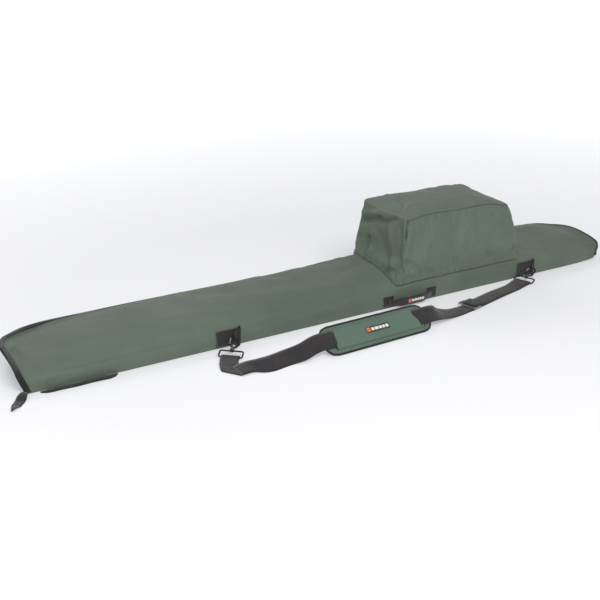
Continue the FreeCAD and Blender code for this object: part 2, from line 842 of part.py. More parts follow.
def shoulder_pad():
    """The padded sleeve on the strap: foam pad, sewn-on cover, and a woven patch."""
    base = PadBody("shoulder_pad_body")
    sketch = base.sketch("XY_Plane")
    shape = rounded("-pad_length / 2", "0", "pad_length / 2", "pad_width", "pad_corner")
    outline(sketch, *shape)
    base.pad(sketch, "pad_thick", middle=False)
    sub_part(base.body, "shoulder_pad", pad_frame())

    margin = "(pad_width - cover_width) / 2"
    tunnel = "(pad_width - webbing) / 2 - layer_gap"
    floor, ceiling = "pad_thick", "(pad_thick + webbing_thick + 2 * layer_gap)"
    cover = PadBody("pad_cover_body")
    sketch = cover.sketch("YZ_Plane")
    top = f"{ceiling} + cover_thick"
    outline(
        sketch,
        [
            (margin, floor),
            (tunnel, floor),
            (tunnel, ceiling),
            (f"pad_width - ({tunnel})", ceiling),
            (f"pad_width - ({tunnel})", floor),
            (f"pad_width - {margin}", floor),
            (f"pad_width - {margin}", top),
            (margin, top),
        ],
    )
    cover.pad(sketch, "cover_length")
    sub_part(cover.body, "pad_cover", pad_frame())

    patch = PadBody("pad_patch_body")
    sketch = patch.sketch("XY_Plane")
    middle = "pad_width / 2"
    low, high = f"{middle} - patch_width / 2", f"{middle} + patch_width / 2"
    outline(sketch, *rounded("-patch_length / 2", low, "patch_length / 2", high, "patch_width / 8"))
    patch.pad(sketch, "patch_thick", middle=False, start=top)
    sub_part(patch.body, "pad_patch", pad_frame())


def right_edge(centre, heading, shift=0.0):
    """The right edge of flat webbing whose centre line passes a point."""
    across = Rotation(heading, 0, 0).multVec(Vector(0, 1, 0))
    edge = centre - across * (value("webbing") / 2)
    return Vector(edge.x, edge.y, value("ground_gap") + shift)


def strap_webbing(tip_bar, tip_ahead, butt_bar, butt_ahead):
    """The strap's long webbing from its sewn end at the tip hook, through the pad and
    under the adjuster, to the butt hook, and the layer that comes back on top."""
    ground = value("ground_gap")
    layer = value("webbing_thick + layer_gap")
    pad = pad_frame()
    edge = value("(pad_width - webbing) / 2")
    rise = value("pad_thick + layer_gap")
    half = value("pad_length / 2 + pad_run")
    pad_heading, pad_tilt = value("pad_heading"), value("pad_tilt")
    pad_start = pad.multVec(Vector(-half, edge, rise))
    pad_end = pad.multVec(Vector(half, edge, rise))
    heading = value("run_heading")
    run_start = at("run_start_x", "run_start_y", "ground_gap")
    run = Rotation(heading, 0, 0).multVec(ALONG)
    run_end = run_start + run * value("run_length")
    butt_heading = value("hook_butt_heading") - 180
    butt_end = butt_bar + butt_ahead * (value("strap_end_length") + value("layer_gap"))
    fold = tip_bar + tip_ahead * value("strap_end_length")
    webbing = ribbon(
        "shoulder_webbing_solid",
        [
            (Vector(fold.x - 10, fold.y - 33, ground + layer), -35, 2),
            (Vector(fold.x + 26, fold.y - 62, ground + layer), -25, 12),
            (Vector(fold.x + 72, fold.y - 74, ground + 1), -6, 24),
            (Vector(fold.x + 154, fold.y - 66, ground), 6, 30),
            (Vector(pad_start.x - 34, pad_start.y - 1, ground + 6), 4, 35),
            (pad_start, pad_heading, pad_tilt),
            (pad_end, pad_heading, pad_tilt),
            (Vector(pad_end.x + 42, pad_end.y + 12, ground + 6), 11, 22),
            (Vector(pad_end.x + 92, pad_end.y + 22, ground), heading - 6, 6),
            (run_start, heading, 0),
            (run_end, heading, 0),
            (right_edge(butt_end, butt_heading), butt_heading, 0),
        ],
    )
    sub_part(webbing, "shoulder_webbing")

    adjuster_at = run_start + run * value("adjuster_place")
    half_run = value("adjuster_length / 2") + 12
    lift = value("hook_eye") / 2
    upper = ribbon(
        "adjuster_webbing_solid",
        [
            (adjuster_at + run * half_run + UP * layer, heading, 0),
            (run_end + UP * layer, heading, 0),
            (right_edge(butt_end, butt_heading, layer), butt_heading, 0),
            (right_edge(butt_bar + butt_ahead * 12, butt_heading, layer + lift), butt_heading, 0),
        ],
    )
    sub_part(upper, "adjuster_webbing")
    centre = adjuster_at + Rotation(heading, 0, 0).multVec(Vector(0, value("webbing") / 2, 0))
    centre.z = ground + 2.5 * layer
    return Placement(centre, Rotation(heading, 0, 0))


def strap_adjuster(place):
    """A three-bar slide, and the end of the webbing sewn round its middle bar."""
    frame = PadBody("adjuster_body")
    sketch = frame.sketch("XY_Plane")
    long, wide = "adjuster_length / 2", "adjuster_width / 2"
    outline(sketch, *rounded(f"-{long}", f"-{wide}", long, wide, "adjuster_bar"))
    middle, inner = "adjuster_bar / 2", f"{long} - adjuster_bar"
    rail = "adjuster_width / 2 - adjuster_bar"
    for low, high in ((f"-({inner})", f"-{middle}"), (middle, inner)):
        outline(sketch, rectangle(low, f"-({rail})", high, rail))
    frame.pad(sketch, "adjuster_thick", middle=False)
    sub_part(frame.body, "strap_adjuster", place)


def strap_stitched_end(place):
    """The short end of webbing that wraps the adjuster's middle bar and is sewn back."""
    made = PadBody("adjuster_tail_body")
    gap, skin = "layer_gap / 2", "webbing_thick / 2"
    inner_x, inner_top = f"(adjuster_bar / 2 + {gap})", f"(adjuster_thick + {gap})"
    outer_x, outer_top = f"({inner_x} + {skin})", f"({inner_top} + {skin})"
    reach = "adjuster_length"
    sketch = made.sketch("XZ_Plane")
    outline(
        sketch,
        [
            (f"-{outer_x}", f"-{gap} - {skin}"),
            (inner_x, f"-{gap} - {skin}"),
            (inner_x, f"-{gap}"),
            (f"-{inner_x}", f"-{gap}"),
            (f"-{inner_x}", inner_top),
            (reach, inner_top),
            (reach, outer_top),
            (f"-{outer_x}", outer_top),
        ],
    )
    made.pad(sketch, "webbing")
    sub_part(made.body, "adjuster_tail", place)


# ---------------------------------------------------------------- handles
def carry_handle():
    """Webbing handle on the front band: two sewn patches, the free webbing, whose ends
    are folded narrow, and a woven label round its middle."""
    patches = PadBody("handle_patches_body")
    sketch = patches.sketch("XZ_Plane")
    for x in ("handle_tip_x", "handle_butt_x"):
        low_x, high_x = f"{x} - handle_patch_length / 2", f"{x} + handle_patch_length / 2"
        low_z, high_z = "handle_height - handle_patch_width / 2", "handle_height + handle_patch_width / 2"
        outline(sketch, rectangle(low_x, low_z, high_x, high_z))
    patches.pad(sketch, "webbing_thick", middle=False, start="half_width")
    sub_part(patches.body, "handle_patches")

    thick = value("webbing_thick")
    folded, full = value("handle_folded"), value("handle_webbing")
    height, start_y = value("handle_height"), value("-half_width - handle_reach")
    first, last = value("handle_tip_x"), value("handle_butt_x")
    bulge = value("handle_bulge") - value("handle_reach")
    shares = ((0, 0, 0), (0.14, 0.55, 0.5), (0.3, 0.9, 1), (0.7, 0.9, 1), (0.86, 0.55, 0.5), (1, 0, 0))
    sections = []
    for i, (along, out, spread) in enumerate(shares):
        section = doc.addObject("Sketcher::SketchObject", f"handle_section_{i}")
        width = folded + (full - folded) * spread
        depth = thick * (2 - spread)
        point = Vector(first + (last - first) * along, start_y - bulge * out, height)
        section.Placement = Placement(point, SECTION)
        outline(section, rectangle(f"-{depth / 2}", f"-{width / 2}", f"{depth / 2}", f"{width / 2}"))
        sections.append(section)
    loft = doc.addObject("Part::Loft", "handle_webbing_solid")
    loft.Sections = sections
    loft.Solid = True
    loft.Ruled = True
    sub_part(loft, "handle_webbing")

    label = PadBody("handle_label_body")
    sketch = label.sketch("XZ_Plane")
    middle = "(handle_tip_x + handle_butt_x) / 2"
    low_x, high_x = f"{middle} - handle_label_length / 2", f"{middle} + handle_label_length / 2"
    low_z, high_z = "handle_height - handle_webbing / 2.6", "handle_height + handle_webbing / 2.6"
    outline(sketch, rectangle(low_x, low_z, high_x, high_z))
    outer = "half_width + handle_reach + (handle_bulge - handle_reach) * 0.9 + webbing_thick / 2"
    label.pad(sketch, "patch_thick", middle=False, start=outer)
    sub_part(label.body, "handle_label")


def grab_handle():
    """A flat webbing handle sewn along the bottom edge near the tip. It is a shallow
    U that lies on the ground and stands out from the front band."""
    made = PadBody("grab_handle_body")
    sketch = made.sketch("XY_Plane")
    wall = "-half_width - grab_gap"
    low, high = "grab_start_x", "grab_end_x"
    out = f"({wall} - grab_reach)"
    run = "grab_reach * 1.5"
    outline(
        sketch,
        [
            (low, wall),
            (f"{low} + {run}", out),
            (f"{high} - {run}", out),
            (high, wall),
        ],
    )
    made.pad(sketch, "webbing_thick", middle=False, start="ground_gap")
    sub_part(made.body, "grab_handle")


# ---------------------------------------------------------------- inside the sleeve
ROD_STRAPS = {"tip": -620.0, "middle": -180.0, "butt": 740.0}


def rod_straps():
    """Touch-tape straps that hold the rods down: an arch over the channel, hinged on
    its front foot, over a strip sewn to the lining."""
    floor = "(fabric + foam + lining + layer_gap)"
    foot = f"({floor} + rod_strap_thick + layer_gap)"
    arch = "((rod_strap_reach^2 + rod_strap_rise^2) / (2 * rod_strap_rise))"
    inner_arch = f"({arch} - rod_strap_thick)"
    inner_foot = f"sqrt({inner_arch}^2 - ({arch} - rod_strap_rise)^2)"
    for name, x in ROD_STRAPS.items():
        strap = PadBody(f"rod_strap_{name}_body")
        sketch = strap.sketch("YZ_Plane")
        corners = [
            ("-rod_strap_reach", foot),
            (f"-{inner_foot}", foot),
            (inner_foot, foot),
            ("rod_strap_reach", foot),
        ]
        outline(sketch, corners, {1: f"-{inner_arch}", 3: arch})
        strap.pad(sketch, "rod_strap_width")
        sub_part(strap.body, f"rod_strap_{name}", Placement(Vector(x, 0, 0), Rotation()))
    strips = PadBody("rod_strap_strips_body")
    sketch = strips.sketch("XY_Plane")
    for x in ROD_STRAPS.values():
        low, high = f"{x} - rod_strap_width / 2", f"{x} + rod_strap_width / 2"
        outline(sketch, rectangle(low, "-rod_strap_reach - 4", high, "rod_strap_reach + 4"))
    strips.pad(sketch, "rod_strap_thick", middle=False, start=floor)
    sub_part(strips.body, "rod_strap_strips")


# ---------------------------------------------------------------- assembly
pocket_panels(layered_shells())
zip_chain()
zip_slider("zip_slider_tip", "slider_tip_x")
zip_slider("zip_slider_butt", "slider_butt_x")
zip_tail()
for end in ("tip", "butt"):
    dring(end, f"dring_{end}_x")
tip_bar, tip_ahead = snap_hook("tip", "dring_tip_x", "hook_tip_heading")
butt_bar, butt_ahead = snap_hook("butt", "dring_butt_x", "hook_butt_heading")
shoulder_pad()
adjuster_place = strap_webbing(tip_bar, tip_ahead, butt_bar, butt_ahead)
strap_adjuster(adjuster_place)
strap_stitched_end(adjuster_place)
carry_handle()
grab_handle()
rod_straps()
doc.recompute()


def fail(message):
    """Stops before anything is written."""
    raise SystemExit(f"rod case: {message}")


for item in doc.Objects:
    if "Invalid" in item.State or "Error" in item.State:
        fail(f"{item.Name} did not build: {item.State}")
for piece in SUB_PARTS:
    if piece.Shape.isNull() or not piece.Shape.isValid() or not piece.Shape.Solids:
        fail(f"{piece.Label} has no valid solid")

os.makedirs("parts", exist_ok=True)
for piece in SUB_PARTS:
    piece.Shape.exportStep(os.path.join("parts", f"{piece.Label}.step"))
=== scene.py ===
import math

import bpy
import numpy as np
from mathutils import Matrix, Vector, noise


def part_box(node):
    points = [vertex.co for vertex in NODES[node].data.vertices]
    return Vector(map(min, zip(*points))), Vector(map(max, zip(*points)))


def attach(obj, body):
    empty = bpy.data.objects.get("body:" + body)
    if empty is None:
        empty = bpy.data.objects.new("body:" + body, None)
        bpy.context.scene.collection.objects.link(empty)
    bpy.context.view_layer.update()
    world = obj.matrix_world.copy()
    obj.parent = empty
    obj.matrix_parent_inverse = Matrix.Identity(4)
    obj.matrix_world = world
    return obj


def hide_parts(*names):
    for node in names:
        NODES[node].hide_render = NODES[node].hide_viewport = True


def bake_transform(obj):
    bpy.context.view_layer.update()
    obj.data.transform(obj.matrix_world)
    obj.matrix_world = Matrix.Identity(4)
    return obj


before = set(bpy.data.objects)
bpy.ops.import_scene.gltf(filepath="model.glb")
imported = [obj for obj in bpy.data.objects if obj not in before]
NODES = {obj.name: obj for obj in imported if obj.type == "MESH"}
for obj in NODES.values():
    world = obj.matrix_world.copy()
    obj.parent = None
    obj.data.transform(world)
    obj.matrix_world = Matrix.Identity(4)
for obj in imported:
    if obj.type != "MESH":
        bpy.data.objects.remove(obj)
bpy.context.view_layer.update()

MM = 0.001
scene = bpy.context.scene


# ---------------------------------------------------------------- numbers from the frame
def mm_box(node):
    """A CAD node's corners, in millimetres."""
    low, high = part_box(node)
    return np.array(low) / MM, np.array(high) / MM


SHELL_LOW, SHELL_HIGH = mm_box("base_shell")
LENGTH = SHELL_HIGH[0]
FRONT, BACK = SHELL_LOW[1], SHELL_HIGH[1]
POCKET_LOW, POCKET_HIGH = mm_box("reel_pocket_gusset")
TIP, BUTT = POCKET_LOW[0], POCKET_HIGH[0]
ZIP_HEIGHT = 74.0
HINGE_HEIGHT = 62.0
FRONT_CORNER = 28.0
BACK_CORNER = 90.0
PAD = 8.5


# ---------------------------------------------------------------- small maths
def smooth(t):
    """An even step from 0 to 1."""
    t = np.clip(t, 0.0, 1.0)
    return t * t * (3 - 2 * t)


def hermite(x, xs, ys):
    """A smooth curve through the points (xs, ys), flat beyond them."""
    x = np.clip(np.asarray(x, float), xs[0], xs[-1])
    xs, ys = np.asarray(xs, float), np.asarray(ys, float)
    slope = np.gradient(ys, xs)
    i = np.clip(np.searchsorted(xs, x, side="right") - 1, 0, len(xs) - 2)
    h = xs[i + 1] - xs[i]
    t = (x - xs[i]) / h
    a, b = ys[i], ys[i + 1]
    ma, mb = slope[i] * h, slope[i + 1] * h
    return (
        (2 * t**3 - 3 * t**2 + 1) * a
        + (t**3 - 2 * t**2 + t) * ma
        + (-2 * t**3 + 3 * t**2) * b
        + (t**3 - t**2) * mb
    )


def unit(v):
    """A direction, or an array of them, at length 1."""
    v = np.asarray(v, float)
    return v / np.maximum(np.linalg.norm(v, axis=-1, keepdims=True), 1e-9)


def noise_at(points, scale, seed=0.0):
    """Smooth noise from -1 to 1 at points in millimetres, scale in millimetres."""
    flat = np.asarray(points, float).reshape(-1, 3) / scale + seed
    values = [noise.noise(Vector(p)) for p in flat]
    return np.array(values).reshape(np.asarray(points).shape[:-1])


def grid_normals(p):
    """Normals of a grid of points, rows by columns."""
    return unit(np.cross(np.gradient(p, axis=1), np.gradient(p, axis=0)))


# ---------------------------------------------------------------- meshes
def mesh(name, verts, faces, material, smooth_shade=True):
    """A new mesh object from millimetre points."""
    data = bpy.data.meshes.new(name)
    data.from_pydata([tuple(v) for v in np.asarray(verts, float) * MM], [], faces)
    data.materials.append(material)
    data.update()
    obj = bpy.data.objects.new(name, data)
    scene.collection.objects.link(obj)
    if smooth_shade:
        data.polygons.foreach_set("use_smooth", [True] * len(data.polygons))
    return obj


def grid_faces(rows, cols, closed=False, start=0):
    """Quads of a grid of points; closed joins the last column to the first."""
    faces = []
    for j in range(rows - 1):
        for i in range(cols if closed else cols - 1):
            k = (i + 1) % cols
            a, b = start + j * cols + i, start + j * cols + k
            faces.append((a, b, b + cols, a + cols))
    return faces


def cap_faces(start, count, pole):
    """A strip of quads that closes a ring of points, folded about its pole."""
    faces = []
    for k in range(count // 2):
        ring = [pole + k, pole + k + 1, pole - k - 1, pole - k]
        face = []
        for point in ring:
            point = start + point % count
            if point not in face:
                face.append(point)
        faces.append(tuple(face))
    return faces


def modifier(obj, kind, **settings):
    """Adds a modifier with its settings."""
    made = obj.modifiers.new(kind.title(), kind)
    for key, setting in settings.items():
        setattr(made, key, setting)
    return made


def layered(obj, levels, thickness, offset=-1):
    """Smooths a sheet of cloth and gives it its thickness, in millimetres."""
    modifier(obj, "SUBSURF", levels=levels, render_levels=levels)
    modifier(obj, "SOLIDIFY", thickness=thickness * MM, offset=offset)


def finish_piece(obj, body, slot, *nodes):
    """Puts a piece on its body, and hides the parts it stands for."""
    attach(obj, body)
    if nodes:
        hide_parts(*nodes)
    return obj


def bend_piece(obj, slot, *nodes):
    """Bakes a piece's placement into its mesh, and hides the parts it stands for."""
    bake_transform(obj)
    if nodes:
        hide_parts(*nodes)
    return obj


def sweep(name, centres, across, normals, width, thick, material, rounding=0.45, segments=6):
    """A flat strap: a rounded section carried along centres. Each other number or direction
    is one for the whole run, or one for each point."""
    centres = np.asarray(centres, float)
    count = len(centres)
    across = np.broadcast_to(unit(across), (count, 3))
    normals = np.broadcast_to(unit(normals), (count, 3))
    width = np.broadcast_to(width, count)
    thick = np.broadcast_to(thick, count)
    ring = []
    for side in (1, -1):
        for k in range(segments + 1):
            t = side * (1 - 2 * k / segments)
            edge = min(1.0, (1 - abs(t)) * segments * rounding + 0.42)
            ring.append((t / 2, side * edge / 2))
    ring = np.array(ring)
    verts = (
        centres[:, None, :]
        + ring[None, :, :1] * width[:, None, None] * across[:, None, :]
        + ring[None, :, 1:] * thick[:, None, None] * normals[:, None, :]
    )
    n = len(ring)
    faces = grid_faces(count, n, closed=True)
    faces.append(tuple(range(n)))
    faces.append(tuple(reversed(range((count - 1) * n, count * n))))
    return mesh(name, verts.reshape(-1, 3), faces, material)


def tube(name, points, radius, material, sides=8, closed=False):
    """A round cord along points."""
    points = np.asarray(points, float)
    if closed:
        ahead = unit(np.roll(points, -1, axis=0) - np.roll(points, 1, axis=0))
    else:
        ahead = unit(np.gradient(points, axis=0))
    guide = np.tile([0.03, 0.05, 1.0], (len(points), 1))
    steep = np.abs(ahead[:, 2]) > 0.92
    guide[steep] = [1.0, 0.2, 0.0]
    side = unit(np.cross(ahead, guide))
    top = np.cross(side, ahead)
    angle = np.linspace(0, 2 * math.pi, sides, endpoint=False)
    verts = points[:, None, :] + radius * (
        np.cos(angle)[None, :, None] * side[:, None, :] + np.sin(angle)[None, :, None] * top[:, None, :]
    )
    faces = []
    rows = len(points)
    for j in range(rows if closed else rows - 1):
        for i in range(sides):
            a, b = j * sides + i, j * sides + (i + 1) % sides
            c, d = ((j + 1) % rows) * sides + (i + 1) % sides, ((j + 1) % rows) * sides + i
            faces.append((a, b, c, d))
    if not closed:
        faces.append(tuple(reversed(range(sides))))
        faces.append(tuple(range((rows - 1) * sides, rows * sides)))
    return mesh(name, verts.reshape(-1, 3), faces, material)


def resample(points, step):
    """Evenly spaced points along a polyline."""
    points = np.asarray(points, float)
    run = np.concatenate([[0], np.cumsum(np.linalg.norm(np.diff(points, axis=0), axis=1))])
    count = max(2, int(round(run[-1] / step)) + 1)
    at = np.linspace(0, run[-1], count)
    return np.stack([np.interp(at, run, points[:, k]) for k in range(3)], axis=1)


def joined(name, objs, material):
    """Several meshes as one object."""
    verts, faces, count = [], [], 0
    for obj in objs:
        verts.extend([np.array(v.co) / MM for v in obj.data.vertices])
        faces.extend([tuple(v + count for v in f.vertices) for f in obj.data.polygons])
        count += len(obj.data.vertices)
        bpy.data.objects.remove(obj)
    return mesh(name, verts, faces, material)


# ---------------------------------------------------------------- materials
class Nodes:
    """A small builder for node materials."""

    def __init__(self, name):
        self.material = bpy.data.materials.new(name)
        self.material.use_nodes = True
        self.tree = self.material.node_tree
        self.tree.nodes.clear()
        self.out = self.tree.nodes.new("ShaderNodeOutputMaterial")
        self.shader = self.tree.nodes.new("ShaderNodeBsdfPrincipled")
        self.tree.links.new(self.shader.outputs[0], self.out.inputs[0])
        coordinate = self.tree.nodes.new("ShaderNodeTexCoord")
        self.place = coordinate.outputs["Object"]

    def feed(self, socket, value):
        """Sets a socket to a number or a colour, or links it to a node's output."""
        if isinstance(value, tuple):
            socket.default_value = (*value, 1.0)
        elif isinstance(value, (int, float)):
            socket.default_value = value
        else:
            self.tree.links.new(value, socket)

    def math(self, kind, a, b=None, c=None):
        node = self.tree.nodes.new("ShaderNodeMath")
        node.operation = kind
        for i, item in enumerate((a, b, c)):
            if item is not None:
                self.feed(node.inputs[i], item)
        return node.outputs[0]

    def noise(self, scale, detail=3.0, rough=0.55, stretch=None):
        node = self.tree.nodes.new("ShaderNodeTexNoise")
        node.inputs["Scale"].default_value = scale
        node.inputs["Detail"].default_value = detail
        node.inputs["Roughness"].default_value = rough
        source = self.place
        if stretch:
            mapping = self.tree.nodes.new("ShaderNodeMapping")
            mapping.inputs["Scale"].default_value = stretch
            self.tree.links.new(self.place, mapping.inputs["Vector"])
            source = mapping.outputs[0]
        self.tree.links.new(source, node.inputs["Vector"])
        return node.outputs["Fac"]

    def mix(self, factor, a, b):
        node = self.tree.nodes.new("ShaderNodeMix")
        node.data_type = "RGBA"
        for key, item in ((0, factor), (6, a), (7, b)):
            self.feed(node.inputs[key], item)
        return node.outputs[2]

    def ramp(self, value, low, high):
        node = self.tree.nodes.new("ShaderNodeMapRange")
        node.inputs["From Min"].default_value = low
        node.inputs["From Max"].default_value = high
        self.tree.links.new(value, node.inputs["Value"])
        return node.outputs[0]

    def weave(self, pitch, mixed=True):
        """Over-and-under threads with the given spacing in metres."""
        axes = self.tree.nodes.new("ShaderNodeSeparateXYZ")
        self.tree.links.new(self.place, axes.inputs[0])
        k = 2 * math.pi / pitch
        across = self.math("SINE", self.math("MULTIPLY", axes.outputs[0], k))
        rest = self.math("ADD", axes.outputs[1], self.math("MULTIPLY", axes.outputs[2], 1.07))
        along = self.math("SINE", self.math("MULTIPLY", rest, k))
        return self.math("MULTIPLY", across, along) if mixed else along

    def bump(self, height, strength, distance):
        node = self.tree.nodes.new("ShaderNodeBump")
        node.inputs["Strength"].default_value = strength
        node.inputs["Distance"].default_value = distance
        self.tree.links.new(height, node.inputs["Height"])
        self.tree.links.new(node.outputs[0], self.shader.inputs["Normal"])
        return node

    def set(self, **values):
        names = {
            "colour": "Base Color", "rough": "Roughness", "metal": "Metallic",
            "sheen": "Sheen Weight", "sheen_rough": "Sheen Roughness", "specular": "Specular IOR Level",
        }
        for key, value in values.items():
            self.feed(self.shader.inputs[names[key]], value)


def linear(r, g, b):
    """A colour from its 0-255 display values."""
    return tuple(
        (c / 255 / 12.92) if c / 255 <= 0.04045 else ((c / 255 + 0.055) / 1.055) ** 2.4 for c in (r, g, b)
    )


def cloth_material(name, colour, dark, pitch=0.0011, sheen=0.25, rough=0.62, crush=0.35):
    """Coated woven polyester: fine weave, broad tone changes, crushed creases."""
    n = Nodes(name)
    broad = n.ramp(n.noise(5.0, 4.0, 0.6), 0.35, 0.68)
    fine = n.ramp(n.noise(60.0, 4.0, 0.7), 0.3, 0.72)
    slub = n.ramp(n.noise(900.0, 2.0, 0.6, (1.0, 6.0, 6.0)), 0.25, 0.75)
    tone = n.math("ADD", n.math("MULTIPLY", broad, 0.55), n.math("MULTIPLY", fine, 0.25))
    tone = n.math("ADD", tone, n.math("MULTIPLY", slub, 0.2))
    colour_out = n.mix(tone, dark, colour)
    weave = n.weave(pitch)
    colour_out = n.mix(n.math("MULTIPLY_ADD", weave, 0.09, 0.09), colour_out, tuple(c * 0.72 for c in dark))
    n.set(colour=colour_out, sheen=sheen, sheen_rough=0.45, specular=0.35)
    n.set(rough=n.math("MULTIPLY_ADD", fine, 0.14, rough - 0.07))
    creases = n.noise(26.0, 6.0, 0.62, (1.0, 1.7, 1.7))
    height = n.math("ADD", n.math("MULTIPLY", creases, crush), n.math("MULTIPLY", weave, 0.035))
    height = n.math("ADD", height, n.math("MULTIPLY", slub, 0.02))
    n.bump(height, 0.55, 0.004)
    return n.material


def webbing_material(name, colour, dark, pitch=0.0016):
    """Woven strap: ribs across the weave and a slightly lighter worn surface."""
    n = Nodes(name)
    ribs = n.weave(pitch)
    thread = n.ramp(n.noise(1400.0, 2.0, 0.6), 0.3, 0.7)
    worn = n.ramp(n.noise(32.0, 4.0, 0.65), 0.35, 0.7)
    tone = n.math("ADD", n.math("MULTIPLY", worn, 0.6), n.math("MULTIPLY", thread, 0.4))
    colour_out = n.mix(tone, dark, colour)
    colour_out = n.mix(n.math("MULTIPLY_ADD", ribs, 0.16, 0.16), colour_out, tuple(c * 0.45 for c in dark))
    n.set(colour=colour_out, rough=0.68, sheen=0.3, sheen_rough=0.4, specular=0.3)
    height = n.math("ADD", n.math("MULTIPLY", ribs, 0.5), n.math("MULTIPLY", thread, 0.35))
    n.bump(height, 0.6, 0.0006)
    return n.material


def metal_material(name, colour, worn, rough, metal=1.0, wear=0.5):
    """Plated or painted wire, brighter where it rubs."""
    n = Nodes(name)
    geometry = n.tree.nodes.new("ShaderNodeNewGeometry")
    edge = n.ramp(geometry.outputs["Pointiness"], 0.5, 0.58)
    scuff = n.ramp(n.noise(220.0, 5.0, 0.7), 0.52, 0.75)
    amount = n.math("MULTIPLY", n.math("MAXIMUM", edge, scuff), wear)
    n.set(colour=n.mix(amount, colour, worn), metal=metal)
    smear = n.noise(120.0, 4.0, 0.6)
    n.set(rough=n.math("MULTIPLY_ADD", smear, 0.22, rough - 0.08))
    n.bump(n.noise(700.0, 3.0, 0.5), 0.08, 0.0004)
    return n.material


def padding_material(name, colour, dark):
    """Brushed lining cloth over foam, with a fine knit and quilted rows."""
    n = Nodes(name)
    knit = n.weave(0.0018)
    broad = n.ramp(n.noise(14.0, 4.0, 0.6), 0.3, 0.7)
    n.set(colour=n.mix(broad, dark, colour), rough=0.85, sheen=0.5, sheen_rough=0.6, specular=0.2)
    fuzz = n.noise(500.0, 3.0, 0.7)
    n.bump(n.math("ADD", n.math("MULTIPLY", knit, 0.3), fuzz), 0.5, 0.0012)
    return n.material


def label_material(name):
    """The pale woven thread of a label."""
    n = Nodes(name)
    weave = n.weave(0.0007)
    fuzz = n.noise(800.0, 2.0, 0.6)
    n.set(colour=n.mix(n.math("MULTIPLY_ADD", weave, 0.1, 0.1), linear(232, 229, 226), linear(170, 166, 166)))
    n.set(rough=0.6, sheen=0.2, specular=0.3)
    n.bump(n.math("ADD", weave, fuzz), 0.4, 0.0004)
    return n.material


GREEN = cloth_material("green_polyester", linear(97, 110, 96), linear(79, 93, 80), sheen=0.12)
PAD_GREEN = cloth_material("pad_green", linear(90, 112, 97), linear(80, 101, 88), pitch=0.0012, crush=0.1)
# seam cords: real raised seams, drawn darker than the cloth as painted shade of the seam grooves
SEAM_CORD_PAINTED_SHADE = cloth_material("seam_cord_painted_shade", linear(62, 76, 66), linear(48, 60, 52), pitch=0.0008, crush=0.1)
WEBBING = webbing_material("black_webbing", linear(56, 51, 53), linear(36, 33, 35))
BINDING = webbing_material("black_binding", linear(34, 34, 35), linear(20, 20, 22), pitch=0.0011)
TAPE = webbing_material("zip_tape_cloth", linear(44, 44, 45), linear(26, 26, 28), pitch=0.0009)
LINING = padding_material("lining_cloth", linear(62, 66, 66), linear(44, 48, 48))
BLACK_METAL = metal_material("black_metal", (0.018, 0.018, 0.02), (0.28, 0.28, 0.29), 0.36, 0.85, 0.45)
BRIGHT_METAL = metal_material("bright_metal", (0.5, 0.5, 0.51), (0.8, 0.8, 0.8), 0.26)
PLASTIC = metal_material("adjuster_plastic", (0.03, 0.03, 0.033), (0.5, 0.5, 0.5), 0.34, 0.6, 0.6)
LABEL = label_material("woven_label")
LABEL_BAND = cloth_material("label_band", linear(226, 118, 62), linear(206, 96, 48), pitch=0.0007, crush=0.05)
LABEL_DARK = cloth_material("label_dark", linear(70, 66, 66), linear(48, 46, 46), pitch=0.0007, crush=0.05)
COIL = metal_material("zip_coil_nylon", (0.012, 0.012, 0.013), (0.09, 0.09, 0.09), 0.42, 0.0, 0.5)
THREAD = webbing_material("black_thread", linear(38, 37, 38), linear(20, 20, 21), pitch=0.0006)


# ---------------------------------------------------------------- sleeve shape
def plan_end(y):
    """How far the end wall stands from the middle, at a depth y."""
    y = np.asarray(y, float)
    back = np.clip(y - (BACK - BACK_CORNER), 0, BACK_CORNER)
    front = np.clip((FRONT + FRONT_CORNER) - y, 0, FRONT_CORNER)
    return (
        LENGTH
        - (BACK_CORNER - np.sqrt(BACK_CORNER**2 - back**2))
        - (FRONT_CORNER - np.sqrt(FRONT_CORNER**2 - front**2))
    )


CONTROL_T = np.array([0, 0.04, 0.12, 0.185, 0.225, 0.265, 0.36, 0.5, 0.66, 0.8, 0.92, 1.0])
BAND_T = 0.225
SOFT_Y = np.array([-110, -113.2, -113.6, -109.5, -104.5, -97, -76, -38, 14, 58, 99, 112.5])
SOFT_Z = np.array([1.4, 13, 31, 46, 54, 61, 73, 0.90, 0.975, 1.0, 0.925, ZIP_HEIGHT])
CRISP_Y = np.array([-110, -112.6, -113.2, -113, -112.2, -105, -78, -38, 14, 58, 97, 112.5])
CRISP_Z = np.array([1.4, 13, 31, 53, 61.5, 66.5, 76, 0.885, 0.965, 1.0, 0.925, ZIP_HEIGHT])

# heights at ON_CROWN are shares of the crown's height, and the others suit its usual height
ON_CROWN = (CONTROL_T >= 0.5) & (CONTROL_T < 0.95)
CROWN_USUAL = 98.0
# the crown's rise over the zip, by its share of the half length
CROWN_SHARE = [-1.0, -0.85, -0.65, -0.3, 0.05, 0.7, 0.88, 1.0]
CROWN_RISE = [-8, 5, 20, 25, 27, 26, 18, 0]
END_T = np.array([0, 0.12, 0.2, 0.28, 0.42, 0.6, 0.78, 0.9, 1.0])
TIP_Y = np.array([-109, -104, -98, -88, -62, -28, 14, 50, 84])
TIP_Z = np.array([1.2, 18, 31, 43, 54, 60, 65, 67, 66])
BUTT_Y = np.array([-110, -111.5, -109, -98, -74, -38, 6, 48, 84])
BUTT_Z = np.array([18, 30, 40, 50, 59, 67, 72, 71, 68])
CREASE_DROP = 23.0
CREASE_FROM = 140.0
RISE_X = [860, 900, 930, 952]
RISE_Z = [0, 5, 12, 18]


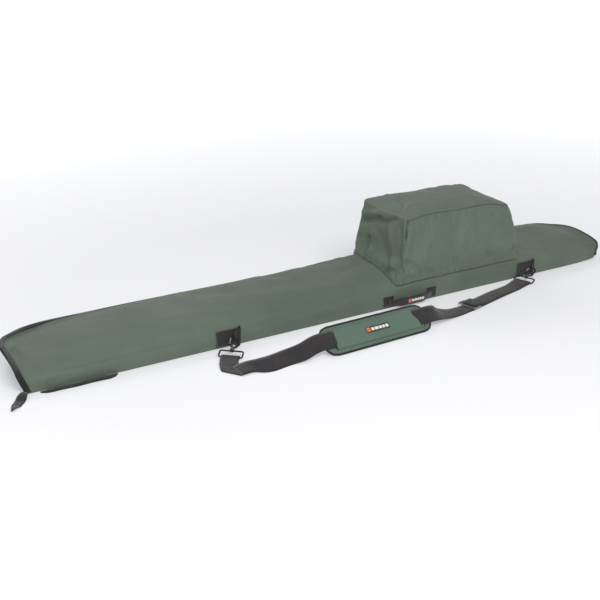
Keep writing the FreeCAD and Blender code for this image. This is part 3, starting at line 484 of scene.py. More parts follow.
def section_points(x, t):
    """Depth and height of the top cloth's middle run at a distance x and share t."""
    crisp = smooth((x - 40) / 120)[..., None]
    crown = ZIP_HEIGHT + hermite(x / LENGTH, CROWN_SHARE, CROWN_RISE)[..., None]
    y = SOFT_Y * (1 - crisp) + CRISP_Y * crisp
    z = SOFT_Z * (1 - crisp) + CRISP_Z * crisp
    low = (crown - CROWN_USUAL) / CROWN_USUAL
    fall = np.interp(CONTROL_T, [0, 0.12, 0.3, 0.45, 1], [0, 0.1, 0.6, 0.95, 1])
    z = np.where(ON_CROWN, z * crown, z * (1 + low * fall * (CONTROL_T < 0.95)))
    ramp = np.clip((x - BUTT - CREASE_FROM) / (LENGTH - BUTT - CREASE_FROM), 0, 1)
    crease = (HINGE_HEIGHT - CREASE_DROP * ramp)[..., None] / HINGE_HEIGHT
    squeeze = np.interp(CONTROL_T, [0, 0.12, 0.225, 0.27, 0.5], [0.5, 0.8, 1, 0.9, 0])
    z = z * (1 + (crease - 1) * squeeze)
    rise = hermite(x, RISE_X, RISE_Z)[..., None]
    z = z + rise * np.clip(1 - CONTROL_T / 0.2, 0, 1)
    out_y, out_z = np.empty(x.shape), np.empty(x.shape)
    for index in np.ndindex(x.shape):
        out_y[index] = hermite(t[index], CONTROL_T, y[index])
        out_z[index] = hermite(t[index], CONTROL_T, z[index])
    return out_y, out_z


def fold(points, start, end, height, width, taper=0.25):
    """Height of one soft fold at points, which runs from start to end."""
    start, end = np.array(start, float), np.array(end, float)
    line = end - start
    reach = np.linalg.norm(line)
    t = ((points - start) @ line) / reach**2
    near = start + np.clip(t, 0, 1)[..., None] * line
    away = np.linalg.norm(points - near, axis=-1)
    ends = smooth(np.minimum(t, 1 - t) / taper + 0.5)
    return height * np.exp(-((away / width) ** 2)) * np.clip(ends, 0, 1)


COLUMNS = 176
ROWS = 32


def sleeve_grid():
    """The top cloth at rest: from the front's lower edge over the crown to the zip."""
    even = np.linspace(-1, 1, COLUMNS + 1)
    column = np.sign(even) * (1 - (1 - np.abs(even)) ** 1.12)
    row = np.linspace(0, 1, ROWS + 1)
    t, u = np.meshgrid(row, column, indexing="ij")
    tip_y, tip_z = hermite(row, END_T, TIP_Y), hermite(row, END_T, TIP_Z)
    butt_y, butt_z = hermite(row, END_T, BUTT_Y), hermite(row, END_T, BUTT_Z)
    tip_x, butt_x = -plan_end(tip_y), plan_end(butt_y)
    x = tip_x[:, None] + (butt_x - tip_x)[:, None] * (u + 1) / 2
    y, z = section_points(x, t)
    for edge_x, edge_y, edge_z, reach in ((tip_x, tip_y, tip_z, 46.0), (butt_x, butt_y, butt_z, 40.0)):
        away = np.abs(x - edge_x[:, None])
        share = np.exp(-((away / reach) ** 1.25))
        y = y * (1 - share) + edge_y[:, None] * share
        z = z * (1 - share) + edge_z[:, None] * share
    # round the back corners of the plan
    limit = np.abs(x)
    over = np.clip(limit - (LENGTH - BACK_CORNER), 0, BACK_CORNER)
    back = BACK - (BACK_CORNER - np.sqrt(np.maximum(BACK_CORNER**2 - over**2, 0)))
    y = np.minimum(y, back)
    return np.stack([x, y, z], axis=-1)


SLEEVE = sleeve_grid()
T_GRID = np.linspace(0, 1, ROWS + 1)[:, None] * np.ones((1, COLUMNS + 1))
X_GRID = SLEEVE[..., 0]


SLEEVE_FOLD_SCALE = 1.5


def sleeve_folds(points):
    """Designed folds on the sleeve, as heights along its normal."""
    flat = points.reshape(-1, 3)
    total = np.zeros(len(flat))
    runs = (
        ((-926, 14, 64), (-932, -102, 34), -5.5, 8, 0.2),
        ((-910, 6, 67), (-917, -106, 26), 4.0, 8, 0.2),
        ((-888, -113, 10), (-876, -96, 60), 3.0, 14, 0.2),
        ((-938, -108, 30), (-930, -84, 52), 3.0, 9, 0.2),
        ((-908, -112, 6), (-918, -108, 28), -3.4, 5, 0.3),
        ((-893, -113, 4), (-904, -111, 24), 3.2, 5, 0.3),
        ((-880, -113, 4), (-888, -112, 22), -3.0, 5, 0.3),
        ((-890, -72, 70), (-640, -88, 70), 1.6, 22, 0.25),
        ((-640, -84, 72), (-480, -96, 62), 2.6, 14, 0.3),
        ((-846, -30, 79), (-700, -50, 82), -1.8, 18, 0.3),
        ((-560, -40, 88), (-300, -84, 72), 3.2, 20, 0.3),
        ((-440, 60, 94), (-330, 20, 98), -5.5, 26, 0.35),
        ((-300, -30, 95), (-60, -72, 76), 3.0, 22, 0.3),
        ((-210, 84, 88), (-150, 40, 98), -4.5, 22, 0.35),
        ((-120, -60, 84), (90, -76, 74), 2.6, 18, 0.3),
        ((-60, -20, 98), (92, 34, 100), -2.2, 18, 0.3),
        ((20, -110, 40), (92, -112, 54), -2.0, 9, 0.3),
        ((-350, -106, 50), (-230, -112, 24), -2.0, 14, 0.3),
        ((-700, -112, 24), (-560, -110, 42), -1.6, 14, 0.3),
        ((640, 20, 98), (800, 40, 95), -2.0, 18, 0.3),
        ((690, -60, 82), (900, -20, 80), 1.6, 22, 0.3),
        ((660, 90, 92), (742, 76, 95), 2.2, 12, 0.3),
        ((612, -80, 74), (700, -70, 78), 1.8, 14, 0.3),
        ((655, -113, 40), (665, -113, 56), -1.4, 5, 0.3),
        ((470, -113, 52), (560, -113, 40), -1.4, 9, 0.3),
        ((330, -113, 50), (345, -113, 26), -1.0, 8, 0.3),
    )
    for start, end, height, width, taper in runs:
        total += fold(flat, start, end, SLEEVE_FOLD_SCALE * height, width, taper)
    return total.reshape(points.shape[:-1])


# ---------------------------------------------------------------- cloth simulation
def relax(grid, pinned, pressure, slack, frames, cap, closed=False, gravity=0.15, stiff=14.0):
    """The grid after its cloth has settled with its pinned points held."""
    rows, cols = grid.shape[:2]
    obj = mesh("settling", grid.reshape(-1, 3), grid_faces(rows, cols, closed), GREEN)
    group = obj.vertex_groups.new(name="held")
    held = np.asarray(pinned, float).reshape(-1)
    for level in np.unique(np.round(held, 2)):
        if level > 0:
            picked = np.nonzero(np.round(held, 2) == level)[0]
            group.add([int(i) for i in picked], float(level), "REPLACE")
    cloth = modifier(obj, "CLOTH")
    s = cloth.settings
    s.quality = 6
    s.mass = 0.3
    s.tension_stiffness = stiff
    s.compression_stiffness = stiff
    s.shear_stiffness = stiff / 2
    s.bending_stiffness = 0.6
    s.tension_damping = s.compression_damping = 12
    s.air_damping = 4
    s.vertex_group_mass = "held"
    s.shrink_min = -slack
    s.use_pressure = True
    s.uniform_pressure_force = pressure
    s.effector_weights.gravity = gravity
    cloth.collision_settings.use_collision = False
    cloth.collision_settings.use_self_collision = False
    cloth.point_cache.frame_start = 1
    cloth.point_cache.frame_end = frames
    for number in range(1, frames + 1):
        scene.frame_set(number)
    graph = bpy.context.evaluated_depsgraph_get()
    settled = obj.evaluated_get(graph).to_mesh()
    moved = np.array([v.co for v in settled.vertices]) / MM
    obj.evaluated_get(graph).to_mesh_clear()
    bpy.data.objects.remove(obj)
    scene.frame_set(1)
    step = moved.reshape(grid.shape) - grid
    far = np.linalg.norm(step, axis=-1, keepdims=True)
    return grid + step * np.minimum(1, cap / np.maximum(far, 1e-6))


def build_sleeve():
    """The top cloth with its folds, and which of its points lie under the pocket."""
    normal = grid_normals(SLEEVE)
    if normal[ROWS // 2, COLUMNS // 2, 2] < 0:
        normal = -normal
    under = (
        (X_GRID > TIP + 14)
        & (X_GRID < BUTT - 14)
        & (SLEEVE[..., 1] > FRONT + 22)
        & (SLEEVE[..., 1] < BACK - 22)
        & (T_GRID > 0.25)
    )
    near_pocket = (
        (X_GRID > TIP - 6) & (X_GRID < BUTT + 6) & (T_GRID > BAND_T - 0.02)
    )
    edge = np.minimum.reduce([
        T_GRID / 0.09,
        (1 - T_GRID) / 0.09,
        (X_GRID - X_GRID.min(axis=1, keepdims=True)) / 26.0,
        (X_GRID.max(axis=1, keepdims=True) - X_GRID) / 26.0,
    ])
    free = smooth(edge)
    free_here = free * np.where(near_pocket, 0.0, 1.0)
    lift = sleeve_folds(SLEEVE) * smooth(edge * 2) * np.where(near_pocket & (T_GRID > 0.27), 0.0, 1.0)
    shaped = SLEEVE.copy()
    held = np.clip(1 - free_here, 0, 1)
    crease = (np.abs(T_GRID - BAND_T) < 0.02) & (X_GRID > 560)
    held = np.where(crease, 1.0, held)
    held = np.where(T_GRID < 0.16, np.maximum(held, 0.85), held)
    settled = relax(shaped, np.round(held, 1), 0.35, 0.012, 24, 7.0)
    small = noise_at(settled, 90.0, 3.1) * 2.1 + noise_at(settled * np.array([0.45, 1, 1]), 30.0, 9.7) * 1.0
    moved = lift + small * smooth(edge * 1.5) * np.where(crease, 0.2, 1.0)
    # the lowest cloth stays behind the grab strip, and the band lies flat behind the handle
    moved = np.where(SLEEVE[..., 2] < 24, np.minimum(moved, 0.3), moved)
    low, high = mm_box("handle_webbing")
    behind = (X_GRID > low[0] - 20) & (X_GRID < high[0] + 20) & (T_GRID < BAND_T)
    moved = np.where(behind, np.clip(moved, -1.5, 0.2), moved)
    settled = settled + normal * moved[..., None]
    settled[..., 2] = np.maximum(settled[..., 2], 0.8)
    return settled, under, normal


CLOTH, UNDER, CLOTH_NORMAL = build_sleeve()


def grid_piece(name, grid, material, hidden=None):
    """A sheet from a grid, without the cells whose corners are all hidden."""
    rows, cols = grid.shape[:2]
    faces = grid_faces(rows, cols)
    if hidden is not None:
        flat = hidden.reshape(-1)
        faces = [f for f in faces if not all(flat[v] for v in f)]
    used = sorted({v for f in faces for v in f})
    index = {v: i for i, v in enumerate(used)}
    verts = grid.reshape(-1, 3)[used]
    return mesh(name, verts, [tuple(index[v] for v in f) for f in faces], material)


def outward(obj, away_from):
    """Turns a sheet's faces away from a point, in millimetres."""
    middle = Vector(away_from) * MM
    total = sum((p.center - middle).dot(p.normal) * p.area for p in obj.data.polygons)
    if total < 0:
        obj.data.flip_normals()
    return obj


case_cloth = outward(grid_piece("case_top_cloth", CLOTH, GREEN, UNDER), (0, 0, 30))
layered(case_cloth, 2, 1.2)
bend_piece(case_cloth, "green_polyester", "lid_shell")


# ---------------------------------------------------------------- lining and padding of the lid
def inner_sheet():
    """The lid's lining: the top cloth moved in by the padding, with a lip to its edge."""
    inner = CLOTH - CLOTH_NORMAL * PAD
    inner[..., 2] = np.maximum(inner[..., 2], 4.0)
    keep = inner[2:-1, 2:-2]
    lip = CLOTH - CLOTH_NORMAL * 1.4
    top = lip[-1, 2:-2]
    sheet = np.concatenate([keep, top[None]], axis=0)
    first = np.concatenate([lip[2:-1, 1], lip[-1:, 1]], axis=0)
    last = np.concatenate([lip[2:-1, -2], lip[-1:, -2]], axis=0)
    return np.concatenate([first[:, None], sheet, last[:, None]], axis=1)


LID_LINING = inner_sheet()
wave = noise_at(LID_LINING, 40.0, 5.0) * 1.0
LID_LINING[..., 2] = LID_LINING[..., 2] + wave * 0.6
hidden_rows = np.zeros(LID_LINING.shape[:2], bool)
hidden_rows[:, 1:-1] = np.concatenate([UNDER[2:-1, 2:-2], UNDER[-1:, 2:-2]], axis=0)
lid_lining = outward(grid_piece("case_lid_lining", LID_LINING, LINING, hidden_rows), (0, 0, 30))
lid_lining.data.flip_normals()
layered(lid_lining, 1, 0.9, 0)
bend_piece(lid_lining, "lining", "lid_lining", "lid_foam")


# ---------------------------------------------------------------- tray: floor, back wall, ends
def tray_loops():
    """Rings of the tray from its rim down its walls to the middle of the floor."""
    gap = np.array([0, 0, -3.2])
    front = CLOTH[0, 1:-1][::-1]
    tip = CLOTH[:, 0] + gap * smooth(np.linspace(0, 6, ROWS + 1))[:, None]
    back = CLOTH[-1, 1:-1] + gap
    butt = (CLOTH[:, -1] + gap * smooth(np.linspace(0, 6, ROWS + 1))[:, None])[::-1]
    rim = np.concatenate([tip, back, butt, front], axis=0)
    on_front = np.zeros(len(rim), bool)
    on_front[-len(front):] = True
    share = np.concatenate([
        smooth(np.linspace(0, 5, ROWS + 1)),
        np.ones(len(back)),
        smooth(np.linspace(5, 0, ROWS + 1)),
        np.zeros(len(front)),
    ])
    tuck = np.concatenate([
        np.ones(ROWS + 1),
        hermite(np.linspace(0, 1, len(back)), [0, 0.06, 0.94, 1], [1, 0.25, 0.25, 1]),
        np.ones(ROWS + 1),
        np.zeros(len(front)),
    ])
    length = LENGTH - 30 * tuck
    floor = rim.copy()
    floor[:, 0] = np.clip(rim[:, 0], -length, length)
    floor[:, 1] = np.where(on_front, rim[:, 1] + 2.0, rim[:, 1] * (1 - 0.05 * tuck) - 2.0 * tuck)
    lift = hermite(rim[:, 0], RISE_X, RISE_Z)
    floor[:, 2] = 0.9 + 0.45 * lift
    loops = [rim]
    direction = unit(rim * np.array([0.0, 1.0, 0.0]) + 1e-6)
    for s, out in ((0.25, 0.35), (0.5, 0.55), (0.75, 0.45), (0.92, 0.2)):
        ring = rim * (1 - s) + floor * s
        bulge = 5.0 * out * share
        ring = ring + direction * bulge[:, None]
        wrinkle = noise_at(ring * np.array([1, 1, 0.5]), 60.0, 4.4) * 2.2 * share
        ring = ring + direction * wrinkle[:, None]
        ring[:, 1] = np.minimum(ring[:, 1], BACK + 1.6)
        ring[:, 2] = np.maximum(ring[:, 2], 0.8)
        loops.append(ring)
    loops.append(floor)
    middle = floor.copy()
    middle[:, 1] = 0.0
    middle[:, 0] = np.clip(middle[:, 0], -LENGTH + 120, LENGTH - 120)
    for s in (0.06, 0.3, 0.65, 0.97):
        ring = floor * (1 - s) + middle * s
        ring[:, 2] = 0.8 + (ring[:, 2] - 0.8) * (1 - s)
        loops.append(ring)
    return np.stack(loops), on_front


TRAY, TRAY_FRONT = tray_loops()


def tray_piece(name, loops, material):
    """A closed mesh of the tray's rings, capped at the middle of the floor."""
    rows, cols = loops.shape[:2]
    faces = grid_faces(rows, cols, closed=True)
    faces += cap_faces((rows - 1) * cols, cols, ROWS // 2)
    return mesh(name, loops.reshape(-1, 3), faces, material)


tray = tray_piece("case_tray_cloth", TRAY, GREEN)
outward(tray, (0, 0, 30))
layered(tray, 1, 1.2)
finish_piece(tray, "base", "green_polyester", "base_shell")


def tray_lining_loops():
    """The padded inside of the tray, with a lip up to the rim."""
    loops = [TRAY[0] + np.array([0, 0, -0.6])]
    inward = unit(-TRAY[0] * np.array([0.12, 1.0, 0.0]))
    ends = np.abs(TRAY[0][:, 0]) > LENGTH - 70
    toward = np.where(ends[:, None], unit(-np.sign(TRAY[0]) * np.array([1.0, 0.6, 0.0])), inward)
    for ring, rise in ((TRAY[1], 2.0), (TRAY[2], 0.0), (TRAY[3], 3.0), (TRAY[4], 7.0)):
        inner = ring + toward * PAD
        inner[:, 2] = np.maximum(ring[:, 2] + rise, 9.4)
        loops.append(inner)
    for ring in TRAY[5:]:
        inner = ring + toward * PAD * 1.3
        inner[:, 2] = 9.6 + 0.5 * noise_at(inner, 45.0, 2.0)
        loops.append(inner)
    return np.stack(loops)


def front_wall(row, depth):
    """The front wall's lining behind one row of the top cloth, from the butt end to the tip."""
    return (CLOTH[row] - CLOTH_NORMAL[row] * depth)[1:-1][::-1]


TRAY_LINING = tray_lining_loops()
for ring, row in zip(TRAY_LINING, (7, 6, 4, 2)):
    ring[TRAY_FRONT] = front_wall(row, PAD + 0.6)
TRAY_LINING[4][TRAY_FRONT] = front_wall(1, PAD + 1.0) + np.array([0, 0, 6.0])
tray_lining = outward(tray_piece("case_tray_lining", TRAY_LINING, LINING), (0, 0, 30))
tray_lining.data.flip_normals()
modifier(tray_lining, "SUBSURF", levels=1, render_levels=1)
finish_piece(tray_lining, "base", "lining", "base_lining", "base_foam")


# ---------------------------------------------------------------- the zip
def along_zip(tip, back, butt):
    """One run of points or directions: up the tip end, along the back, down the butt end."""
    return np.concatenate([tip, back[1:-1], butt[::-1]])


def resampled(values, run, at):
    """Points or directions at other distances along their run."""
    return np.stack([np.interp(at, run, values[:, k]) for k in range(3)], axis=1)


def softened(values, reach):
    """Directions averaged with their neighbours."""
    padded = np.pad(values, ((reach, reach), (0, 0)), mode="edge")
    kernel = np.ones(2 * reach + 1) / (2 * reach + 1)
    return unit(np.stack([np.convolve(padded[:, k], kernel, mode="valid") for k in range(3)], axis=1))


RIM = along_zip(CLOTH[:, 0], CLOTH[-1], CLOTH[:, -1])
RIM_IN = along_zip(CLOTH[:, 1] - CLOTH[:, 0], CLOTH[-2] - CLOTH[-1], CLOTH[:, -2] - CLOTH[:, -1])
RIM_OUT = along_zip(CLOTH_NORMAL[:, 1], CLOTH_NORMAL[-2], CLOTH_NORMAL[:, -2])
RIM_DOWN = (TRAY[1] - TRAY[0])[: len(RIM)]
RIM_RUN = np.concatenate([[0], np.cumsum(np.linalg.norm(np.diff(RIM, axis=0), axis=1))])
ZIP_STEP = 3.0
ZIP_AT = np.linspace(0, RIM_RUN[-1], int(RIM_RUN[-1] / ZIP_STEP) + 1)
ZIP = resampled(RIM, RIM_RUN, ZIP_AT)
ZIP_AHEAD = softened(unit(np.gradient(ZIP, axis=0)), 2)


def across_zip(directions):
    """Directions made square to the zip line, and softened."""
    made = softened(resampled(unit(directions), RIM_RUN, ZIP_AT), 6)
    made = made - (made * ZIP_AHEAD).sum(axis=1, keepdims=True) * ZIP_AHEAD
    return unit(made)


ZIP_UP = across_zip(RIM_IN)
ZIP_OUT = across_zip(RIM_OUT)
ZIP_DOWN = across_zip(np.array([0, 0, -1.0]) + 0.4 * unit(RIM_DOWN))
WALL_OUT = unit(np.cross(ZIP_AHEAD, ZIP_DOWN))
ZIP_INSIDE = np.clip(ZIP, [-860, 0, 0], [860, 0, 200])
WALL_OUT = WALL_OUT * np.sign((WALL_OUT * (ZIP - ZIP_INSIDE)).sum(axis=1, keepdims=True))


def zip_strip(name, low, high, side, out, lift, thick, material):
    """A band beside the zip line, between two distances from it."""
    low, high = np.broadcast_to(low, len(ZIP)), np.broadcast_to(high, len(ZIP))
    centre = ZIP + side * ((low + high) / 2)[:, None] + out * lift
    return sweep(name, centre, side, out, high - low, thick, material)


def zip_teeth(name, side, out, offset, lift, material, phase=0.0):
    """Coil turns along one side of the zip line."""
    at = np.arange(0, RIM_RUN[-1], 1.5)

    def here(values):
        return np.stack([np.interp(at, ZIP_AT, values[:, k]) for k in range(3)], axis=1)

    turn = np.arange(len(at)) * (math.pi * 2 / 3) + phase
    coil = here(ZIP) + here(side) * (offset + 1.0 * np.cos(turn))[:, None]
    coil = coil + here(out) * (lift + 0.9 * np.sin(turn))[:, None]
    return tube(name, coil, 0.5, material, sides=5)


tape_base = zip_strip("zip_tape_lower", 1.2, 9.5, ZIP_DOWN, WALL_OUT, 1.0, 1.0, TAPE)
finish_piece(tape_base, "base", "zip_tape", "zip_tape_base")
TIP_SHARE = 1 - smooth((ZIP_AT - 300) / 90)
tape_lid = zip_strip("zip_tape_upper", -0.6, 5.0 + 6.0 * TIP_SHARE, ZIP_UP, ZIP_OUT, 1.1, 1.2, TAPE)
bend_piece(tape_lid, "zip_tape", "zip_tape_lid")
coil_base = zip_teeth("zip_coil_lower", ZIP_DOWN, WALL_OUT, 1.6, 1.6, COIL)
finish_piece(coil_base, "base", "zip_coil", "zip_coil_base")
coil_lid = zip_teeth("zip_coil_upper", ZIP_UP, ZIP_OUT, 0.2, 1.5, COIL, math.pi)
bend_piece(coil_lid, "zip_coil", "zip_coil_lid")
binding = tube(
    "tip_end_binding", (ZIP + ZIP_DOWN * 2.0 + WALL_OUT * 0.4)[:34], 2.6, BINDING, sides=10
)
finish_piece(binding, "base", "webbing")


def zip_leaf():
    """The loose end of the zip tape, hanging at the front corner of the tip end."""
    low = mm_box("zip_tail")[0]
    start = ZIP[0] + np.array([-3.0, -1.0, 6.0])
    finish = np.array([low[0] + 6, low[1] + 4, 2.6])
    t = np.linspace(0, 1, 26)
    path = start + (finish - start) * t[:, None]
    path[:, 2] = start[2] + (2.2 - start[2]) * smooth(t * 1.6) + 2.5 * np.sin(t * 9)
    path[:, 2] = np.maximum(path[:, 2], 2.0)
    ahead = unit(np.gradient(path, axis=0))
    across = unit(np.cross(ahead, np.tile([0.2, 0.1, 1.0], (len(t), 1))))
    normal = np.cross(across, ahead)
    width = np.interp(t, [0, 0.3, 0.7, 1], [13, 23, 21, 3])
    obj = sweep("zip_tail_leaf", path, across, normal, width, 1.4, TAPE)
    return finish_piece(obj, "base", "zip_tape", "zip_tail")


zip_leaf()


# ---------------------------------------------------------------- the reel pocket
POCKET_COLUMNS = 120
WALL_ROWS = 18
POCKET_CENTRE = (340, 0, 150)
# the top's tip and butt edges, its front edge and its depth
TOP_TIP, TOP_BUTT = 139.0, 527.0
TOP_FRONT, TOP_DEPTH = -101.0, 206.0
# the height of the walls' foot, and the highest that the cloth may stand
WALL_FOOT = 80.0
CLOTH_LIMIT = 265.0
POCKET_FOLD_SCALE = 1.6


def pocket_corners(level):
    """Low and high x, and front and back y, of the pocket at a level from 0 to 1."""
    t = np.asarray(level, float)
    low_x = TIP + (TOP_TIP - TIP) * t + 5 * np.sin(math.pi * t)
    high_x = BUTT + (TOP_BUTT - BUTT) * t + 9 * np.sin(math.pi * t)
    front_y = (FRONT - 1.0) + 12.0 * t - 3.0 * np.sin(math.pi * t)
    back_y = 108 - 3.0 * t + 3.5 * np.sin(math.pi * t)
    return low_x, high_x, front_y, back_y


def ring_at(level, radius):
    """A rounded rectangle, counter-clockwise from the front tip corner."""
    low_x, high_x, front_y, back_y = pocket_corners(level)
    middles = np.array([
        (low_x + radius, front_y + radius), (high_x - radius, front_y + radius),
        (high_x - radius, back_y - radius), (low_x + radius, back_y - radius),
    ])
    starts = (math.pi, 1.5 * math.pi, 0.0, 0.5 * math.pi)
    bend, more = 6, 12
    quarter = POCKET_COLUMNS // 4
    straights = (quarter + more - bend, quarter - more - bend) * 2
    points = []
    for middle, following, start, count in zip(middles, np.roll(middles, -1, axis=0), starts, straights):
        for k in range(bend):
            a = start + (k + 0.5) / bend * math.pi / 2
            points.append(middle + radius * np.array([math.cos(a), math.sin(a)]))
        a = start + math.pi / 2
        edge = radius * np.array([math.cos(a), math.sin(a)])
        first, last = middle + edge, following + edge
        for k in range(count):
            s = (k + 0.5) / count
            points.append(first + (last - first) * s)
    return np.array(points)


def cloth_height(x, y):
    """Height of the top cloth above a plan point."""
    i = int(np.argmin(np.abs(X_GRID[ROWS // 2] - x)))
    ys, zs = CLOTH[:, i, 1], CLOTH[:, i, 2]
    pick = T_GRID[:, i] >= BAND_T
    order = np.argsort(ys[pick])
    return float(np.interp(y, ys[pick][order], zs[pick][order]))


def top_height(x, y):
    """Height of the pocket's top cloth above a plan point."""
    along = np.clip((x - TOP_TIP) / (TOP_BUTT - TOP_TIP), 0, 1)
    front = hermite(along, [0, 0.1, 0.5, 0.85, 1], [246, 253, 255, 251, 238])
    back = hermite(along, [0, 0.1, 0.5, 0.85, 1], [256, 260, 262, 261, 255])
    share = np.clip((y - TOP_FRONT) / TOP_DEPTH, 0, 1)
    crown = 4.0 * np.sin(math.pi * share) * np.sin(math.pi * np.clip(along, 0.02, 0.98)) ** 0.5
    return front * (1 - share) + back * share + crown


def pocket_grid():
    """The pocket's rings: up its walls from the foot, then in over its top."""
    foot = ring_at(0.0, 20.0)
    rings = []
    ground = np.array([max(cloth_height(x, y), HINGE_HEIGHT - 1) for x, y in foot]) - 2.0
    for j in range(WALL_ROWS + 1):
        t = j / WALL_ROWS
        ring = ring_at(t, 20.0 - 6.0 * t)
        lid = top_height(ring[:, 0], ring[:, 1])
        z = ground + (lid - 4.5 - ground) * t
        rings.append(np.column_stack([ring, z]))
    edge = rings[-1]
    low_x, high_x, front_y, back_y = pocket_corners(1.0)
    middle_y = (front_y + back_y) / 2
    inner = edge.copy()
    half_y = (back_y - front_y) / 2
    inner[:, 1] = middle_y
    inner[:, 0] = np.clip(edge[:, 0], low_x + half_y * 0.9, high_x - half_y * 0.9)
    for s, drop in ((0.035, 1.6), (0.09, 0.4), (0.2, 0.0), (0.38, 0), (0.58, 0), (0.78, 0), (0.96, 0)):
        ring = edge * (1 - s) + inner * s
        ring[:, 2] = top_height(ring[:, 0], ring[:, 1]) - drop
        rings.append(ring)
    return np.stack(rings)


POCKET = pocket_grid()
WALLS = np.zeros(POCKET.shape[:2])
WALLS[: WALL_ROWS + 1] = np.linspace(0, 1, WALL_ROWS + 1)[:, None]
WALLS[WALL_ROWS + 1:] = 1


def pocket_normals(p):
    """Normals of the pocket's closed rings, pointing out."""
    around = np.roll(p, -1, axis=1) - np.roll(p, 1, axis=1)
    up = np.gradient(p, axis=0)
    n = unit(np.cross(around, up))
    middle = p.mean(axis=(0, 1))
    if ((p - middle) * n).sum() < 0:
        n = -n
    return n


def tip_wall(back, up):
    """A point of the pocket's tip wall, by its shares of the depth and of the height."""
    low_x, _, front_y, back_y = pocket_corners(up)
    z = WALL_FOOT + (top_height(low_x, front_y) - WALL_FOOT) * up
    return float(low_x), float(front_y + (back_y - front_y) * back), float(z)


def on_top(along, back):
    """A point of the pocket's top cloth, by its shares of the length and of the depth."""
    low_x, high_x, front_y, back_y = pocket_corners(1.0)
    x, y = low_x + (high_x - low_x) * along, front_y + (back_y - front_y) * back
    return float(x), float(y), float(top_height(x, y))


def pocket_folds(points):
    """Designed folds of the pocket's cloth, as heights along its normal."""
    flat = points.reshape(-1, 3)
    total = np.zeros(len(flat))
    runs = (
        # the tip wall: a deep crease, a sag and a roll under the top edge, hanging folds
        (tip_wall(0.75, 0.5), tip_wall(0.75, 0.1), -9.0, 6, 0.2),
        (tip_wall(0.95, 0.7), tip_wall(0.5, 0.85), -7.0, 9, 0.3),
        (tip_wall(0.95, 0.85), tip_wall(0.5, 0.95), 4.5, 8, 0.3),
        (tip_wall(0.65, 0.65), tip_wall(0.65, 0.1), 6.0, 7, 0.25),
        (tip_wall(0.55, 0.6), tip_wall(0.25, 0.2), -6.0, 8, 0.3),
        (tip_wall(0.35, 0.8), tip_wall(0.15, 0.15), 6.0, 9, 0.3),
        (tip_wall(0.12, 0.85), tip_wall(0.08, 0.3), -5.0, 8, 0.3),
        (tip_wall(0.65, 0.08), tip_wall(0.2, 0.08), -4.0, 6, 0.25),
        (tip_wall(0.5, 0.8), tip_wall(0.2, 0.95), -5.0, 7, 0.3),
        # small folds that spread from the top's front tip corner
        (on_top(0.1, 0.3), on_top(0.2, 0.7), -4.0, 6, 0.3),
        (on_top(0.1, 0.3), on_top(0.3, 0.45), 3.5, 6, 0.3),
        (on_top(0.08, 0.25), on_top(0.0, 0.4), -3.5, 6, 0.3),
        # the pleat below that corner
        (tip_wall(0.0, 1.0), tip_wall(0.03, 0.65), -11.0, 5, 0.2),
        ((158, -103, 236), (130, -112, 130), 2.6, 12, 0.3),
        ((112, -113, 120), (104, -113, 74), -4.0, 6, 0.3),
        ((140, -112, 84), (150, -113, 70), -3.5, 5, 0.3),
        # broad tension lines over the front panel
        ((250, -106, 226), (170, -112, 110), 1.4, 20, 0.35),
        ((330, -106, 210), (300, -112, 90), -1.8, 24, 0.35),
        ((400, -106, 215), (470, -111, 110), 1.0, 26, 0.35),
        ((500, -105, 225), (548, -111, 96), -2.0, 16, 0.35),
        # the butt wall and the back
        ((534, -60, 220), (562, -30, 110), -5.0, 16, 0.35),
        ((536, 20, 225), (566, 50, 120), 4.0, 18, 0.35),
        ((538, 80, 200), (560, 20, 150), -4.0, 14, 0.35),
        ((200, 108, 230), (240, 111, 110), -5.0, 18, 0.35),
        ((330, 108, 225), (300, 111, 120), 4.0, 22, 0.35),
        ((460, 108, 220), (500, 111, 110), -4.0, 18, 0.35),
    )
    for start, end, height, width, taper in runs:
        total += fold(flat, start, end, POCKET_FOLD_SCALE * height, width, taper)
    return total.reshape(points.shape[:-1])


FINE_ROWS, FINE_COLUMNS = 2, 3


def finer(grid, count, axis, closed):
    """The grid with smooth extra rows or columns between its own."""
    moved = np.moveaxis(grid, axis, 0)
    if closed:
        before, after, far = (np.roll(moved, k, axis=0) for k in (1, -1, -2))
        here = moved
    else:
        padded = np.concatenate([2 * moved[:1] - moved[1:2], moved, 2 * moved[-1:] - moved[-2:-1]])
        before, here, after, far = padded[:-3], padded[1:-2], padded[2:-1], padded[3:]
    parts = []
    for k in range(count):
        t = k / count
        parts.append(here + 0.5 * t * (
            after - before
            + t * (2 * before - 5 * here + 4 * after - far + t * (3 * (here - after) + far - before))
        ))
    made = np.stack(parts, axis=1).reshape(-1, *moved.shape[1:])
    if not closed:
        made = np.concatenate([made, moved[-1:]])
    return np.moveaxis(made, 0, axis)


